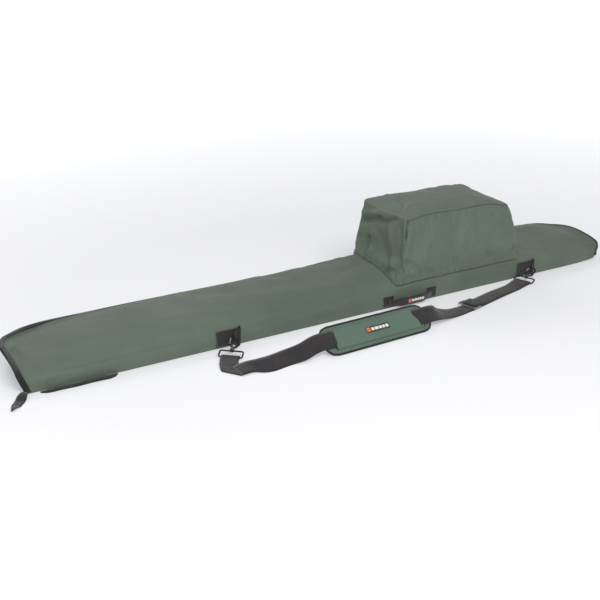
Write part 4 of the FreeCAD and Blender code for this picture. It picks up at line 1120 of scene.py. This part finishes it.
def build_pocket():
    """The pocket's cloth after it has settled, with its folds, and its normals."""
    held = np.zeros(POCKET.shape[:2])
    held[0] = 1
    held[1] = 0.6
    held[WALL_ROWS] = 0.8
    held[-1] = 0.5
    settled = relax(POCKET, held, 0.25, 0.02, 26, 9.0, closed=True, stiff=12.0)
    # the top cloth lies in one broad curve
    rows = np.arange(len(settled))[:, None]
    share = smooth((rows - WALL_ROWS) / 4.0)
    broad = top_height(settled[..., 0], settled[..., 1]) + noise_at(settled, 110.0, 4.4) * 2.4
    settled[..., 2] = settled[..., 2] * (1 - share) + broad * share
    walls = finer(WALLS, FINE_ROWS, 0, False)
    walls = np.repeat(walls, FINE_COLUMNS, axis=1)
    settled = finer(finer(settled, FINE_ROWS, 0, False), FINE_COLUMNS, 1, True)
    normal = pocket_normals(settled)
    foot = smooth(walls * 5)
    small = noise_at(settled, 46.0, 1.7) * 1.6 + noise_at(settled, 18.0, 6.1) * 0.6
    settled = settled + normal * ((pocket_folds(settled) + small) * foot)[..., None]
    settled[..., 2] = np.minimum(settled[..., 2], CLOTH_LIMIT)
    return settled, normal


POCKET_CLOTH, POCKET_NORMAL = build_pocket()


def loft_piece(name, grid, material):
    """A mesh of closed rings, capped at the last one."""
    rows, cols = grid.shape[:2]
    faces = grid_faces(rows, cols, closed=True)
    faces += cap_faces((rows - 1) * cols, cols, cols - cols // 20)
    return mesh(name, grid.reshape(-1, 3), faces, material)


pocket = outward(loft_piece("reel_pocket_cloth", POCKET_CLOTH, GREEN), POCKET_CENTRE)
layered(pocket, 1, 1.2)
finish_piece(
    pocket, "lid", "green_polyester",
    "reel_pocket_front", "reel_pocket_back", "reel_pocket_gusset",
)

inner_pocket = (POCKET_CLOTH - POCKET_NORMAL * PAD)[::FINE_ROWS, ::FINE_COLUMNS]
spread = unit((POCKET_CLOTH[0, ::FINE_COLUMNS] - np.array([341.0, 0, 0])) * np.array([1, 1, 0]))
flange = inner_pocket[0] + spread * 3
flange[:, 2] = inner_pocket[0][:, 2] - 7.0
inner_pocket = np.concatenate([flange[None], inner_pocket], axis=0)
pocket_lining = outward(loft_piece("reel_pocket_inside", inner_pocket, LINING), POCKET_CENTRE)
pocket_lining.data.flip_normals()
layered(pocket_lining, 1, 0.9, 0)
finish_piece(pocket_lining, "lid", "lining", "reel_pocket_lining", "reel_pocket_foam")


def seam_line(row, columns, lift=0.4):
    """Points on the pocket's cloth along one of its rings."""
    return POCKET_CLOTH[row, columns] + POCKET_NORMAL[row, columns] * lift


TOP_ROW = WALL_ROWS * FINE_ROWS
front_columns = np.arange(2 * FINE_COLUMNS, 47 * FINE_COLUMNS)
# the seam cords are darker than the cloth: painted shade along the seam grooves
seams = [tube("seam_top", seam_line(TOP_ROW, front_columns), 1.0, SEAM_CORD_PAINTED_SHADE)]
foot_seam = seam_line(0, np.arange(0, POCKET_COLUMNS * FINE_COLUMNS), 0.2) + np.array([0, 0, 1.6])
seams.append(tube("seam_foot", foot_seam, 1.1, SEAM_CORD_PAINTED_SHADE, closed=True))
corner_seam = seam_line(slice(TOP_ROW - 8, TOP_ROW + 1), 45 * FINE_COLUMNS, 0.3)
seams.append(tube("seam_butt_corner", corner_seam, 0.9, SEAM_CORD_PAINTED_SHADE))
pocket_seams = joined("reel_pocket_seams", seams, SEAM_CORD_PAINTED_SHADE)
finish_piece(pocket_seams, "lid", "green_polyester")


# ---------------------------------------------------------------- webbing
def axes_of(heading, tilt):
    """Ahead, across and normal of webbing with a heading, its left edge tilted up."""
    h, lean = math.radians(heading), math.radians(tilt)
    ahead = np.array([math.cos(h), math.sin(h), 0.0])
    left = np.array([-math.sin(h), math.cos(h), 0.0])
    across = left * math.cos(lean) + np.array([0, 0, 1.0]) * math.sin(lean)
    return ahead, across, np.cross(ahead, across)


def spline(points, count):
    """A smooth run through points, with each row's other numbers carried along."""
    points = np.asarray(points, float)
    run = np.concatenate([[0], np.cumsum(np.linalg.norm(np.diff(points[:, :3], axis=0), axis=1))])
    at = np.linspace(0, run[-1], count)
    return np.stack([hermite(at, run, points[:, k]) for k in range(points.shape[1])], axis=1)


def strap_run(name, stations, count, width, thick, material):
    """Webbing through stations: right edge, heading and tilt."""
    rows = spline([(*p, h, t) for p, h, t in stations], count)
    centres, across, normals = [], [], []
    for row in rows:
        _, side, normal = axes_of(row[3], row[4])
        centres.append(row[:3] + side * width / 2 + normal * thick / 2)
        across.append(side)
        normals.append(normal)
    return sweep(name, centres, across, normals, width, thick, material)


STRAP = 48.0
LAYER = 2.0
GROUND = 1.0
STEP = 2.4
SLIDE_HEADING, END_RUN_HEADING = 13.5, 17.0


def heading_of(degrees):
    """A level direction, by its angle from +X."""
    return np.array([math.cos(math.radians(degrees)), math.sin(math.radians(degrees)), 0.0])


def bar_of(node, wire=4.0):
    """The middle of a hook loop's far bar, the lowest part of the loop."""
    low = mm_box(node)[0]
    points = np.array([v.co for v in NODES[node].data.vertices]) / MM
    far = points[points[:, 2] < low[2] + wire * 1.05]
    return (far.min(axis=0) + far.max(axis=0)) / 2


TIP_HEADING, BUTT_HEADING = 228.7, 197.0
TIP_BAR, BUTT_BAR = bar_of("hook_loop_tip"), bar_of("hook_loop_butt")
TIP_BAR[2] = BUTT_BAR[2] = 5.0
PAD_LOW, PAD_HIGH = mm_box("shoulder_pad")
PAD_AHEAD, PAD_ACROSS, PAD_NORMAL = axes_of(1.5, 38.0)
PAD_ORIGIN = np.array([(PAD_LOW[0] + PAD_HIGH[0]) / 2, PAD_LOW[1] + 8.0, 1.0])


def on_pad(x, y, z):
    """Points in the pad's own frame: along, across and off its face."""
    x, y, z = np.broadcast_arrays(x, y, z)
    return (
        PAD_ORIGIN + x[..., None] * PAD_AHEAD + y[..., None] * PAD_ACROSS + z[..., None] * PAD_NORMAL
    )


def right_edge(centre, heading, height):
    """The right edge of level strap webbing, from its middle."""
    across = axes_of(heading, 0)[1]
    edge = centre - across * STRAP / 2
    return np.array([edge[0], edge[1], height])


def stitches(name, corners, normal, lift=0.35, length=3.4, gap=1.8, radius=0.36):
    """A run of separate thread stitches along a polyline."""
    parts = []
    corners = np.asarray(corners, float) + np.asarray(normal, float) * lift
    for first, last in zip(corners[:-1], corners[1:]):
        reach = np.linalg.norm(last - first)
        count = max(1, int(reach / (length + gap)))
        for k in range(count):
            start = first + (last - first) * (k + 0.15) / count
            end = first + (last - first) * (k + 0.85) / count
            middle = (start + end) / 2 + np.asarray(normal, float) * 0.3
            parts.append(tube("stitch", [start, middle, end], radius, THREAD, sides=4))
    return joined(name, parts, THREAD)


def cross_box(name, centre, along, across, normal, long, wide):
    """A sewn square with its two diagonals."""
    centre = np.asarray(centre, float)
    a, b = np.asarray(along, float) * long / 2, np.asarray(across, float) * wide / 2
    corners = [centre - a - b, centre + a - b, centre + a + b, centre - a + b, centre - a - b]
    path = corners + [centre + a + b, centre + a - b, centre - a + b]
    return stitches(name, path, normal)


# the strap turns along the ground by folding over: the fold bisects its two headings
END_HEADING, RUN_HEADING = TIP_HEADING + 15.0, 4.0
FOLD_REACH = 90.0
FOLD_HEADING = (END_HEADING + RUN_HEADING) / 2
FOLD_HALF = (STRAP / 2) / abs(math.sin(math.radians(END_HEADING - FOLD_HEADING)))
FOLD_AT = TIP_BAR + heading_of(END_HEADING) * FOLD_REACH
FOLD_LEFT = FOLD_AT + heading_of(FOLD_HEADING) * FOLD_HALF
FOLD_RIGHT = FOLD_AT - heading_of(FOLD_HEADING) * FOLD_HALF


def half_turn(x, y, radius, start):
    """The half circle that webbing makes round a bar, clockwise from an angle."""
    angles = [start - math.pi * k / 8 for k in range(9)]
    return [(x + radius * math.cos(a), y + radius * math.sin(a)) for a in angles]


def bent(path, count):
    """A smooth run through the points of a webbing's side view, and its step at each point."""
    run = spline(np.column_stack([path, np.zeros(len(path))]), count)
    return run, np.gradient(run[:, :2], axis=0)


def looped_end(name, bar, heading, body, node, fold=None):
    """Webbing folded round a hook's loop and sewn to itself. fold is the slanted far
    edge, where the strap folds over to turn along the ground."""
    ahead = heading_of(heading)
    across = np.array([-ahead[1], ahead[0], 0.0])
    path = [(60, 1.9), (30, 1.9), (8, 1.8)] + half_turn(0.0, 5.0, 3.2, -math.pi / 2)
    path += [(8, 6.6), (20, 4.6), (40, 4.1), (58, 4.1)]
    run, step = bent(path, 60)
    centres = bar * np.array([1, 1, 0]) + run[:, :1] * ahead + run[:, 1:2] * np.array([0, 0, 1.0])
    normals = -step[:, 1:2] * ahead + step[:, :1] * np.array([0, 0, 1.0])
    across_rows = np.tile(across, (len(run), 1))
    width = np.full(len(run), STRAP - 1.5)
    if fold:
        share = smooth((run[:, 0] - 8) / 52)[:, None]
        left, right_side = fold
        target = (left + right_side) / 2
        centres[:, :2] = centres[:, :2] * (1 - share) + target[:2] * share
        slant = unit(right_side - left)
        across_rows = across_rows * (1 - share) + slant * share
        width = width + (np.linalg.norm(right_side - left) - width) * share[:, 0]
    obj = sweep(name, centres, across_rows, normals, width, 1.9, WEBBING)
    finish_piece(obj, body, "webbing", node)
    spot = bar * np.array([1, 1, 0]) + ahead * 36 + np.array([0, 0, 5.1])
    sewn = cross_box(f"{name}_stitches", spot, ahead, across, (0, 0, 1), 30, STRAP - 12)
    return finish_piece(sewn, body, "webbing")


def shoulder_strap():
    """The long webbing from the tip hook through the pad to the butt hook."""
    fold_at = TIP_BAR + heading_of(TIP_HEADING) * 60
    pad_start = on_pad(-200.0, 16.0, 7.4)
    pad_end = on_pad(200.0, 16.0, 7.4)
    slide_low, slide_high = mm_box("strap_adjuster")
    slide_centre = (slide_low + slide_high) / 2
    along = heading_of(SLIDE_HEADING)
    run_start = right_edge(slide_centre - along * 30, SLIDE_HEADING, GROUND)
    run_end = run_start + along * 172
    butt_end = BUTT_BAR + heading_of(BUTT_HEADING) * 60.4
    stations = [
        ((FOLD_RIGHT[0], FOLD_RIGHT[1], GROUND + 2.0), 4, 3),
        ((FOLD_RIGHT[0] + 32, FOLD_RIGHT[1] + 1.5, GROUND + 1.5), 3, 10),
        ((fold_at[0] + 72, fold_at[1] - 70, GROUND), 4, 22),
        ((fold_at[0] + 154, fold_at[1] - 66, GROUND), 6, 30),
        ((pad_start[0] - 34, pad_start[1] - 1, GROUND + 6), 4, 35),
        (pad_start, 1.5, 38),
        (on_pad(-100.0, 16.0, 7.4), 1.5, 38),
        (on_pad(100.0, 16.0, 7.4), 1.5, 38),
        (pad_end, 1.5, 38),
        ((pad_end[0] + 42, pad_end[1] + 12, GROUND + 6), 11, 22),
        ((pad_end[0] + 92, pad_end[1] + 22, GROUND), 7.5, 6),
        (run_start, SLIDE_HEADING, 0),
        (run_end, SLIDE_HEADING, 0),
        (right_edge(butt_end, END_RUN_HEADING, GROUND), END_RUN_HEADING, 0),
    ]
    obj = strap_run("shoulder_webbing_run", stations, 220, STRAP, LAYER, WEBBING)
    finish_piece(obj, "strap", "webbing", "shoulder_webbing")
    at = run_start + along * 30
    near_bar = BUTT_BAR + heading_of(BUTT_HEADING) * 12
    upper = [
        (at + along * 27 + np.array([0, 0, STEP]), SLIDE_HEADING, 0),
        (run_end + np.array([0, 0, STEP + 0.6]), SLIDE_HEADING, 0),
        (right_edge(butt_end, END_RUN_HEADING, GROUND + STEP), END_RUN_HEADING, 0),
        (right_edge(near_bar, END_RUN_HEADING, GROUND + STEP + 4.6), END_RUN_HEADING, 0),
    ]
    obj = strap_run("adjuster_webbing_run", upper, 90, STRAP - 0.6, LAYER, WEBBING)
    finish_piece(obj, "strap", "webbing", "adjuster_webbing")


looped_end("strap_loop_tip", TIP_BAR, TIP_HEADING, "strap", "strap_end_tip", (FOLD_LEFT, FOLD_RIGHT))
looped_end("strap_loop_butt", BUTT_BAR, BUTT_HEADING, "strap", "strap_end_butt")
shoulder_strap()


# ---------------------------------------------------------------- shoulder pad
def pad_sheet(half_long, low, high, corner, height, crown, columns=88, rows=22, edge=0.0):
    """A crowned sheet with rounded corners, in the pad's frame."""
    across = np.linspace(low, high, rows + 1)
    middle, half = (low + high) / 2, (high - low) / 2
    off = np.clip(np.abs(across - middle) - (half - corner), 0, corner)
    reach = half_long - (corner - np.sqrt(corner**2 - off**2))
    along = np.linspace(-1, 1, columns + 1)
    along = np.sign(along) * (1 - (1 - np.abs(along)) ** 1.15)
    x = reach[:, None] * along[None, :]
    y = across[:, None] * np.ones_like(x)
    near = np.minimum(1 - np.abs(y - middle) / half, (1 - np.abs(along))[None, :] * half_long / half)
    z = height + crown * np.sqrt(np.clip(near * (2 - near), 0, 1)) + edge
    return on_pad(x, y, z)


def build_pad():
    """The shoulder pad: two faces, piping, the sewn-on panel, its slots and its stitches."""
    top = pad_sheet(170.0, 0.0, 80.0, 30.0, 2.6, 4.6)
    top += PAD_NORMAL * (noise_at(top, 30.0, 8.0) * 0.7)[..., None]
    under = pad_sheet(170.0, 0.0, 80.0, 30.0, 2.6, -2.2)
    upper = grid_piece("pad_top", top, PAD_GREEN)
    lower = grid_piece("pad_under", under, BINDING)
    lower.data.flip_normals()
    layered(upper, 1, 0.8)
    modifier(lower, "SOLIDIFY", thickness=0.8 * MM, offset=-1)
    finish_piece(upper, "shoulder_pad", "pad_cloth", "shoulder_pad")
    finish_piece(lower, "shoulder_pad", "padding")
    rim = np.concatenate([top[0], top[1:-1, -1], top[-1][::-1], top[1:-1, 0][::-1]])
    rim = resample(np.concatenate([rim, rim[:1]]), 4.0)[:-1]
    piping = tube("pad_piping", rim, 3.1, BINDING, sides=10, closed=True)
    finish_piece(piping, "shoulder_pad", "webbing")
    # the cover: a sewn-on panel the webbing runs under
    rows, columns = 18, 72
    y = np.linspace(10, 70, rows + 1)[:, None] * np.ones((1, columns + 1))
    x = np.linspace(-142, 142, columns + 1)[None, :] * np.ones((rows + 1, 1))
    raised = smooth(np.minimum(y - 10, 70 - y) / 7.0)
    z = 7.4 + 3.2 * raised + 0.9 * np.sin(math.pi * (y - 10) / 60) * (1 - (x / 150) ** 4)
    cover = on_pad(x, y, z)
    cover += PAD_NORMAL * (noise_at(cover, 26.0, 3.0) * 0.5)[..., None]
    panel = grid_piece("pad_panel", cover, PAD_GREEN)
    layered(panel, 1, 1.0)
    finish_piece(panel, "shoulder_pad", "pad_cloth", "pad_cover")
    edges = []
    for side in (0, -1):
        edges.append(tube("slot", cover[:, side] + PAD_NORMAL * 0.4, 1.1, BINDING))
    slots = joined("pad_slots", edges, BINDING)
    finish_piece(slots, "shoulder_pad", "webbing")
    lines = []
    for y_line in (12.0, 68.0):
        xs = np.linspace(-140, 140, 2)
        lines.append(stitches("line", on_pad(xs, y_line, 8.2), PAD_NORMAL, lift=0.5))
    sewn = joined("pad_stitches", lines, THREAD)
    finish_piece(sewn, "shoulder_pad", "webbing")


def woven_label(name, origin, along, up, out, long, wide, body, node):
    """A generic woven label: dark ground, a warm end block and plain pale bars."""
    origin, along, up, out = (np.asarray(v, float) for v in (origin, along, up, out))

    def plate(part, low, high, bottom, top, lift, thick, material):
        columns = 16
        s = np.linspace(low, high, columns + 1) * long / 2
        centres = origin + s[:, None] * along + up * (bottom + top) / 4 * wide + out * lift
        return sweep(f"{name}_{part}", centres, up, out, (top - bottom) / 2 * wide, thick, material)

    ground_piece = plate("ground", -1, 1, -1, 1, 0.4, 0.8, LABEL_DARK)
    finish_piece(ground_piece, body, "patch", node)
    finish_piece(plate("block", -0.94, -0.62, -0.72, 0.72, 0.85, 0.4, LABEL_BAND), body, "patch")
    bars = []
    for low, high in ((-0.54, -0.3), (-0.24, 0.06), (0.12, 0.36), (0.42, 0.62), (0.68, 0.93)):
        bars.append(plate("bar", low, high, -0.5, 0.5, 0.85, 0.4, LABEL))
    finish_piece(joined(f"{name}_bars", bars, LABEL), body, "patch")


build_pad()
woven_label(
    "pad_label", on_pad(-2.0, 40.0, 12.0), PAD_AHEAD, PAD_ACROSS, PAD_NORMAL, 74.0, 16.0,
    "shoulder_pad", "pad_patch",
)


# ---------------------------------------------------------------- adjuster end
def adjuster_end():
    """The short end of webbing round the slide's middle bar."""
    low, high = mm_box("strap_adjuster")
    ahead, across, _ = axes_of(SLIDE_HEADING, 0)
    middle = (low + high) / 2
    path = [
        (34, 3.7), (16, 3.8), (5, 3.3), (1.5, 2.7), (-2.6, 1.6),
        (-3.3, 0), (-2.6, -1.7), (0, -2.3), (3, -2.4),
    ]
    run, step = bent(path, 36)
    centres = middle + run[:, :1] * ahead + run[:, 1:2] * np.array([0, 0, 1.0])
    normals = step[:, 1:2] * ahead - step[:, :1] * np.array([0, 0, 1.0])
    obj = sweep("adjuster_tail_fold", centres, across, normals, STRAP - 2, 0.9, WEBBING)
    finish_piece(obj, "adjuster", "webbing", "adjuster_tail")


adjuster_end()


# ---------------------------------------------------------------- tabs and handles
def ring_tab(end):
    """The sewn tab that holds a D-ring to the front band."""
    node = f"dring_tab_{end}"
    low, high = mm_box(node)
    bar_x, bar_y = high[0] - 4.5, -117.0
    wall, outer = FRONT - 2.0, FRONT - 4.6
    path = [(low[0] + 1, wall), (low[0] + 30, wall), (bar_x - 9, wall - 0.2)]
    path += half_turn(bar_x, bar_y, 3.4, math.pi / 2)
    path += [(bar_x - 9, outer - 1.4), (low[0] + 30, outer), (low[0] + 2, outer)]
    run, step = bent(path, 70)
    middle_z = (low[2] + high[2]) / 2
    centres = np.column_stack([run[:, 0], run[:, 1], np.full(len(run), middle_z)])
    normals = np.column_stack([step[:, 1], -step[:, 0], np.zeros(len(run))])
    obj = sweep(f"ring_tab_{end}", centres, (0, 0, 1), normals, 42.0, 1.9, WEBBING)
    finish_piece(obj, "base", "webbing", node)
    spot = (low[0] + 27, outer - 1.0, middle_z)
    sewn = cross_box(f"ring_tab_{end}_stitches", spot, (1, 0, 0), (0, 0, 1), (0, -1, 0), 38, 34)
    finish_piece(sewn, "base", "webbing")


def carry_handle():
    """The handle on the front band: two sewn patches, the bowed webbing and its label."""
    low, high = mm_box("handle_patches")
    middle_z = (low[2] + high[2]) / 2
    patches = []
    for x in (low[0] + 18, high[0] - 18):
        s = np.linspace(-18, 18, 12)
        centres = np.column_stack([x + s, np.full(12, FRONT - 1.4), np.full(12, middle_z)])
        patches.append(sweep("patch", centres, (0, 0, 1), (0, -1, 0), 30.0, 1.6, WEBBING))
        spot = (x, FRONT - 2.2, middle_z)
        patches.append(cross_box("sewn", spot, (1, 0, 0), (0, 0, 1), (0, -1, 0), 30, 24))
    finish_piece(joined("handle_patch_pair", patches, WEBBING), "base", "webbing", "handle_patches")
    first, last = low[0] + 18, high[0] - 18
    t = np.linspace(0, 1, 80)
    bulge = np.interp(
        t, [0, 0.06, 0.14, 0.3, 0.5, 0.7, 0.86, 0.94, 1], [0, 0.2, 0.5, 0.88, 0.95, 0.9, 0.5, 0.2, 0]
    )
    bulge = np.convolve(np.pad(bulge, 4, mode="edge"), np.ones(9) / 9, mode="valid")
    y = FRONT - 6.0 - 13.6 * bulge
    droop = 3.0 * np.sin(math.pi * t) + 0.8 * np.sin(9 * t)
    centres = np.column_stack([first + (last - first) * t, y, middle_z - droop])
    step = np.gradient(centres, axis=0)
    normals = np.column_stack([step[:, 1], -step[:, 0], np.zeros(len(t))])
    lean = np.array([0, -0.16, 1.0])
    width = np.interp(t, [0, 0.12, 0.22, 0.78, 0.88, 1], [15, 19, 27, 27, 19, 15])
    thick = np.interp(width, [15, 27], [4.2, 2.2])
    obj = sweep("handle_strap", centres, lean, normals, width, thick, WEBBING)
    finish_piece(obj, "carry_handle", "webbing", "handle_webbing")
    centre = centres[44] + np.array([0, -1.2, 0])
    woven_label(
        "handle_label_woven", centre, (1, 0, 0), unit(lean), (0, -1, 0), 58.0, 15.0,
        "carry_handle", "handle_label",
    )


def grab_handle():
    """The flat strip under the front edge at the tip."""
    low, high = mm_box("grab_handle")
    t = np.linspace(0, 1, 60)
    width = np.interp(t, [0, 0.06, 0.14, 0.88, 0.95, 1], [4, 11, 14, 15, 11, 4])
    x = low[0] - 14 + (high[0] - low[0] + 14) * t
    y = high[1] - 0.8 - width / 2
    z = 2.2 + 1.2 * np.sin(t * 7.0) ** 2
    centres = np.column_stack([x, y, z])
    obj = sweep("grab_strap", centres, (0, 1, 0.16), (0, -0.16, 1), width, 2.6, BINDING)
    finish_piece(obj, "grab_handle", "webbing", "grab_handle")


def rod_straps():
    """Arched straps with a touch-tape face, and the strips they fasten to."""
    strips = []
    for name in ("tip", "middle", "butt"):
        node = f"rod_strap_{name}"
        low, high = mm_box(node)
        x = (low[0] + high[0]) / 2
        half, rise = (high[1] - low[1]) / 2, high[2] - low[2]
        arch = (half**2 + rise**2) / (2 * rise)
        reach = math.asin(half / arch)
        a = np.linspace(-reach * 0.96, reach, 48)
        ys, zs = (arch - 1) * np.sin(a), low[2] + (arch - 1) * np.cos(a) - (arch - rise)
        zs = zs - 3.0 * np.exp(-(((ys + 66) / 26) ** 2))
        centres = np.column_stack([np.full(48, x), ys, zs + 0.2])
        normals = np.column_stack([np.zeros(48), np.sin(a), np.cos(a)])
        obj = sweep(f"rod_strap_{name}_band", centres, (1, 0, 0), normals, 29.0, 1.8, WEBBING)
        finish_piece(obj, node, "webbing", node)
        y = np.linspace(-80, 80, 20)
        centres = np.column_stack([np.full(20, x), y, np.full(20, 11.4)])
        strips.append(sweep("strip", centres, (1, 0, 0), (0, 0, 1), 29.0, 1.8, BINDING))
    finish_piece(joined("rod_strap_strip_set", strips, BINDING), "base", "webbing", "rod_strap_strips")


for end in ("tip", "butt"):
    ring_tab(end)
carry_handle()
grab_handle()
rod_straps()


# ---------------------------------------------------------------- finishes of the kept metal
for node, obj in NODES.items():
    if not (obj.data and obj.data.materials):
        continue
    if node.startswith(("hook_gate", "zip_pull")):
        finish = BRIGHT_METAL
    elif node == "strap_adjuster":
        finish = PLASTIC
    elif node.startswith(("hook_", "zip_slider", "dring_tip", "dring_butt")):
        finish = BLACK_METAL
    else:
        finish = WEBBING
    for k in range(len(obj.data.materials)):
        obj.data.materials[k] = finish
    if node.startswith(("hook_", "zip_", "dring_tip", "dring_butt", "strap_adjuster")):
        modifier(obj, "BEVEL", width=0.35 * MM, segments=2, limit_method="ANGLE")

# ---------------------------------------------------------------- stage, light and camera
FLOOR = 60000
corners = [(-FLOOR, -FLOOR, 0), (FLOOR, -FLOOR, 0), (FLOOR, FLOOR, 0), (-FLOOR, FLOOR, 0)]
ground = mesh("floor", corners, [(0, 1, 2, 3)], LABEL)
floor_look = Nodes("pale_floor")
floor_tone = floor_look.mix(floor_look.noise(0.8, 2.0), (0.58, 0.58, 0.61), (0.61, 0.61, 0.63))
floor_look.set(colour=floor_tone, rough=0.7)
# painted light: the floor glows, weakly near the case and more strongly far from it
distance = floor_look.tree.nodes.new("ShaderNodeVectorMath")
distance.operation = "LENGTH"
floor_look.tree.links.new(floor_look.place, distance.inputs[0])
glow = floor_look.math("MULTIPLY_ADD", floor_look.ramp(distance.outputs["Value"], 0.8, 4.0), 0.5, 0.3)
floor_look.tree.links.new(glow, floor_look.shader.inputs["Emission Strength"])
floor_look.shader.inputs["Emission Color"].default_value = (0.98, 0.98, 1.0, 1.0)
ground.data.materials[0] = floor_look.material

world = bpy.data.worlds.new("studio")
world.use_nodes = True
world.node_tree.nodes["Background"].inputs[0].default_value = (0.95, 0.97, 1.0, 1.0)
world.node_tree.nodes["Background"].inputs[1].default_value = 0.5
scene.world = world


def area_light(name, place, target, size, power, colour=(1, 1, 1)):
    """A soft rectangular light that faces its target, in metres."""
    data = bpy.data.lights.new(name, "AREA")
    data.shape = "RECTANGLE"
    data.size, data.size_y = size
    data.energy = power
    data.color = colour
    obj = bpy.data.objects.new(name, data)
    scene.collection.objects.link(obj)
    obj.location = place
    obj.rotation_euler = (Vector(target) - Vector(place)).to_track_quat("-Z", "Y").to_euler()
    return obj


area_light("key", (-0.75, -2.5, 2.3), (0.0, 0, 0.05), (1.8, 1.1), 74, (1.0, 0.99, 0.97))
area_light("left", (-3.2, -1.0, 1.2), (-0.5, 0, 0.05), (1.2, 1.2), 9, (1.0, 1.0, 0.98))
area_light("back", (-0.3, 2.6, 2.4), (-0.1, 0, 0.1), (2.0, 1.0), 20)

CAMERA_PLACE = (-1.4598, -2.0108, 0.9681)
CAMERA_LENS = 56.3
YAW, PITCH, ROLL = math.radians(33.27), math.radians(21.25), math.radians(0.99)
camera_data = bpy.data.cameras.new("camera")
camera_data.lens = CAMERA_LENS
camera_data.sensor_width = 36.0
camera = bpy.data.objects.new("camera", camera_data)
scene.collection.objects.link(camera)
forward = Vector((math.sin(YAW) * math.cos(PITCH), math.cos(YAW) * math.cos(PITCH), -math.sin(PITCH)))
right = Vector((math.cos(YAW), -math.sin(YAW), 0.0))
above = right.cross(forward)
turned_right = right * math.cos(ROLL) + above * math.sin(ROLL)
turned_up = above * math.cos(ROLL) - right * math.sin(ROLL)
matrix = camera.matrix_world.copy()
for row in range(3):
    matrix[row][0] = turned_right[row]
    matrix[row][1] = turned_up[row]
    matrix[row][2] = -forward[row]
matrix.translation = Vector(CAMERA_PLACE)
camera.matrix_world = matrix
scene.camera = camera
scene.view_settings.view_transform = "Standard"
